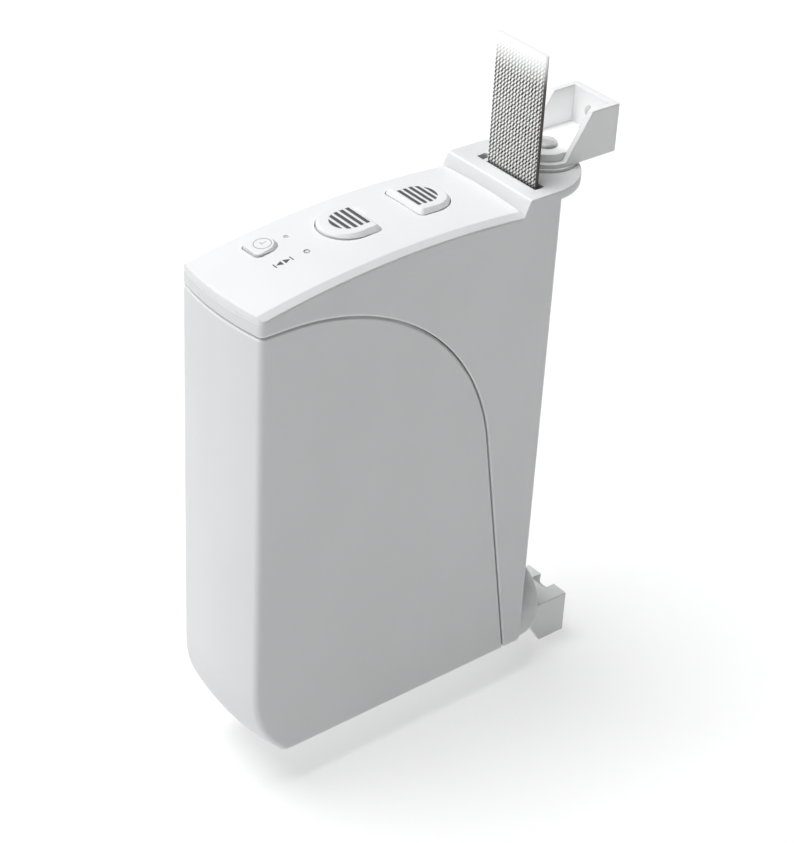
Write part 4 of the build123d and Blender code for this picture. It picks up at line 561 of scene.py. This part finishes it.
def clock_sign():
    """the clock on the small key: a ring and two hands"""
    marks = ring_outline(CLOCK_X, CLOCK_DEPTH, CLOCK_RING_R - CLOCK_LINE, CLOCK_RING_R)
    points = [(CLOCK_X + x, CLOCK_DEPTH + depth) for x, depth in CLOCK_HAND]
    for start, end in zip(points, points[1:]):
        marks.append(stroke_outline(start, end, CLOCK_LINE))

    def surface(x, depth):
        return crown_top(x, depth, CLOCK_RISE) + PRINT_LIFT

    return printed("clock_sign", marks, surface, "clock_key", PRINT_LIFT * 2, INK)


def travel_sign():
    """the end stop symbol: two arrowheads between two bars"""
    marks = []
    for depth in SIGN_BARS:
        marks.append(stroke_outline((SIGN_X - SIGN_HALF, depth), (SIGN_X + SIGN_HALF, depth), SIGN_BAR_W))
    for tip, foot in SIGN_ARROWS:
        marks.append([(SIGN_X, tip), (SIGN_X + SIGN_HALF, foot), (SIGN_X - SIGN_HALF, foot)])

    def surface(x, depth):
        return crown_top(x, depth) + PRINT_LIFT

    return printed("travel_sign", marks, surface, "housing", PRINT_LIFT * 2, INLAY)


def floor():
    """a pale floor just under the lower bracket"""
    form = bmesh.new()
    bmesh.ops.create_circle(form, cap_ends=True, segments=96, radius=FLOOR_R)
    made = Finish("floor_paper", Roughness=0.9, Emission_Strength=FLOOR_GLOW)
    made.shader.inputs["Emission Color"].default_value = tint(1.0, 1.0, 1.0)
    made.colour(made.mix(made.noise(3.0), tint(0.48, 0.48, 0.482), tint(0.50, 0.50, 0.50)))
    piece = from_form("floor", form, made.material)
    piece.location = (0.0, 0.0, cad_box[0][2] - FLOOR_DROP)


def backdrop():
    """a pale dome round the floor that is seen and gives no light"""
    form = bmesh.new()
    bmesh.ops.create_uvsphere(form, u_segments=64, v_segments=32, radius=DOME_R)
    for face in form.faces:
        face.smooth = True
    made = Finish("backdrop_paper", Roughness=1.0, Emission_Strength=1.0)
    made.colour(tint(0.0, 0.0, 0.0))
    paper = made.mix(made.noise(0.3), tint(0.86, 0.865, 0.87), tint(0.90, 0.90, 0.90))
    made.feed(made.shader.inputs["Emission Color"], paper)
    piece = from_form("backdrop", form, made.material)
    piece.visible_diffuse = False
    piece.visible_glossy = False
    piece.visible_transmission = False
    piece.visible_shadow = False


def lamp(name, kind, power, source):
    """a lamp that shines from the direction of source"""
    light = shown(name, bpy.data.lights.new(name, kind))
    light.data.energy = power
    light.rotation_mode = "QUATERNION"
    light.rotation_quaternion = Vector(source).to_track_quat("Z", "Y")
    return light


def studio():
    """soft daylight from above and from the front left, and one large soft sun"""
    world = bpy.data.worlds.new("studio")
    world.use_nodes = True
    bpy.context.scene.world = world
    tree = world.node_tree
    background = tree.nodes["Background"]
    direction = tree.nodes.new("ShaderNodeTexCoord").outputs["Generated"]
    facing = tree.nodes.new("ShaderNodeVectorMath")
    facing.operation = "DOT_PRODUCT"
    facing.inputs[1].default_value = Vector(SKY_FROM).normalized()
    tree.links.new(direction, facing.inputs[0])
    spread = tree.nodes.new("ShaderNodeMapRange")
    for socket, value in zip(list(spread.inputs)[1:5], SKY_RANGE):
        socket.default_value = value
    tree.links.new(facing.outputs["Value"], spread.inputs["Value"])
    tree.links.new(spread.outputs[0], background.inputs["Strength"])
    background.inputs["Color"].default_value = tint(0.985, 0.992, 1.0)
    lamp("sun", "SUN", SUN_POWER, SUN_FROM).data.angle = math.radians(SUN_ANGLE)


def bracket_light():
    """a small soft lamp in the upper bracket, for the bright inside that the photograph shows"""
    light = lamp("bracket_light", "AREA", LAMP_POWER, LAMP_FROM)
    light.data.size = LAMP_SIZE * MM
    low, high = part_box("wall_bracket_top")
    light.location = (high.x - LAMP_ASIDE * MM, low.y * LAMP_BACK, high.z - LAMP_DOWN * MM)
    light.visible_camera = False


def camera():
    """the photograph's camera, worked out from the straight edges in it"""
    eye = shown("camera", bpy.data.cameras.new("camera"))
    eye.data.sensor_fit = "VERTICAL"
    eye.data.sensor_height = SENSOR_HIGH
    eye.data.lens = CAMERA_LENS
    right = Vector(CAMERA_RIGHT)
    upward = Vector(CAMERA_UP)
    turn = Matrix((right, upward, right.cross(upward))).transposed()
    eye.matrix_world = Matrix.Translation(CAMERA_AT) @ turn.to_4x4()
    bpy.context.scene.camera = eye


wound_belt()
free_belt()
key_stripes("down", -1)
key_stripes("up", 1)
clock_sign()
travel_sign()
floor()
backdrop()
studio()
bracket_light()
camera()
bpy.context.scene.view_settings.view_transform = "Standard"
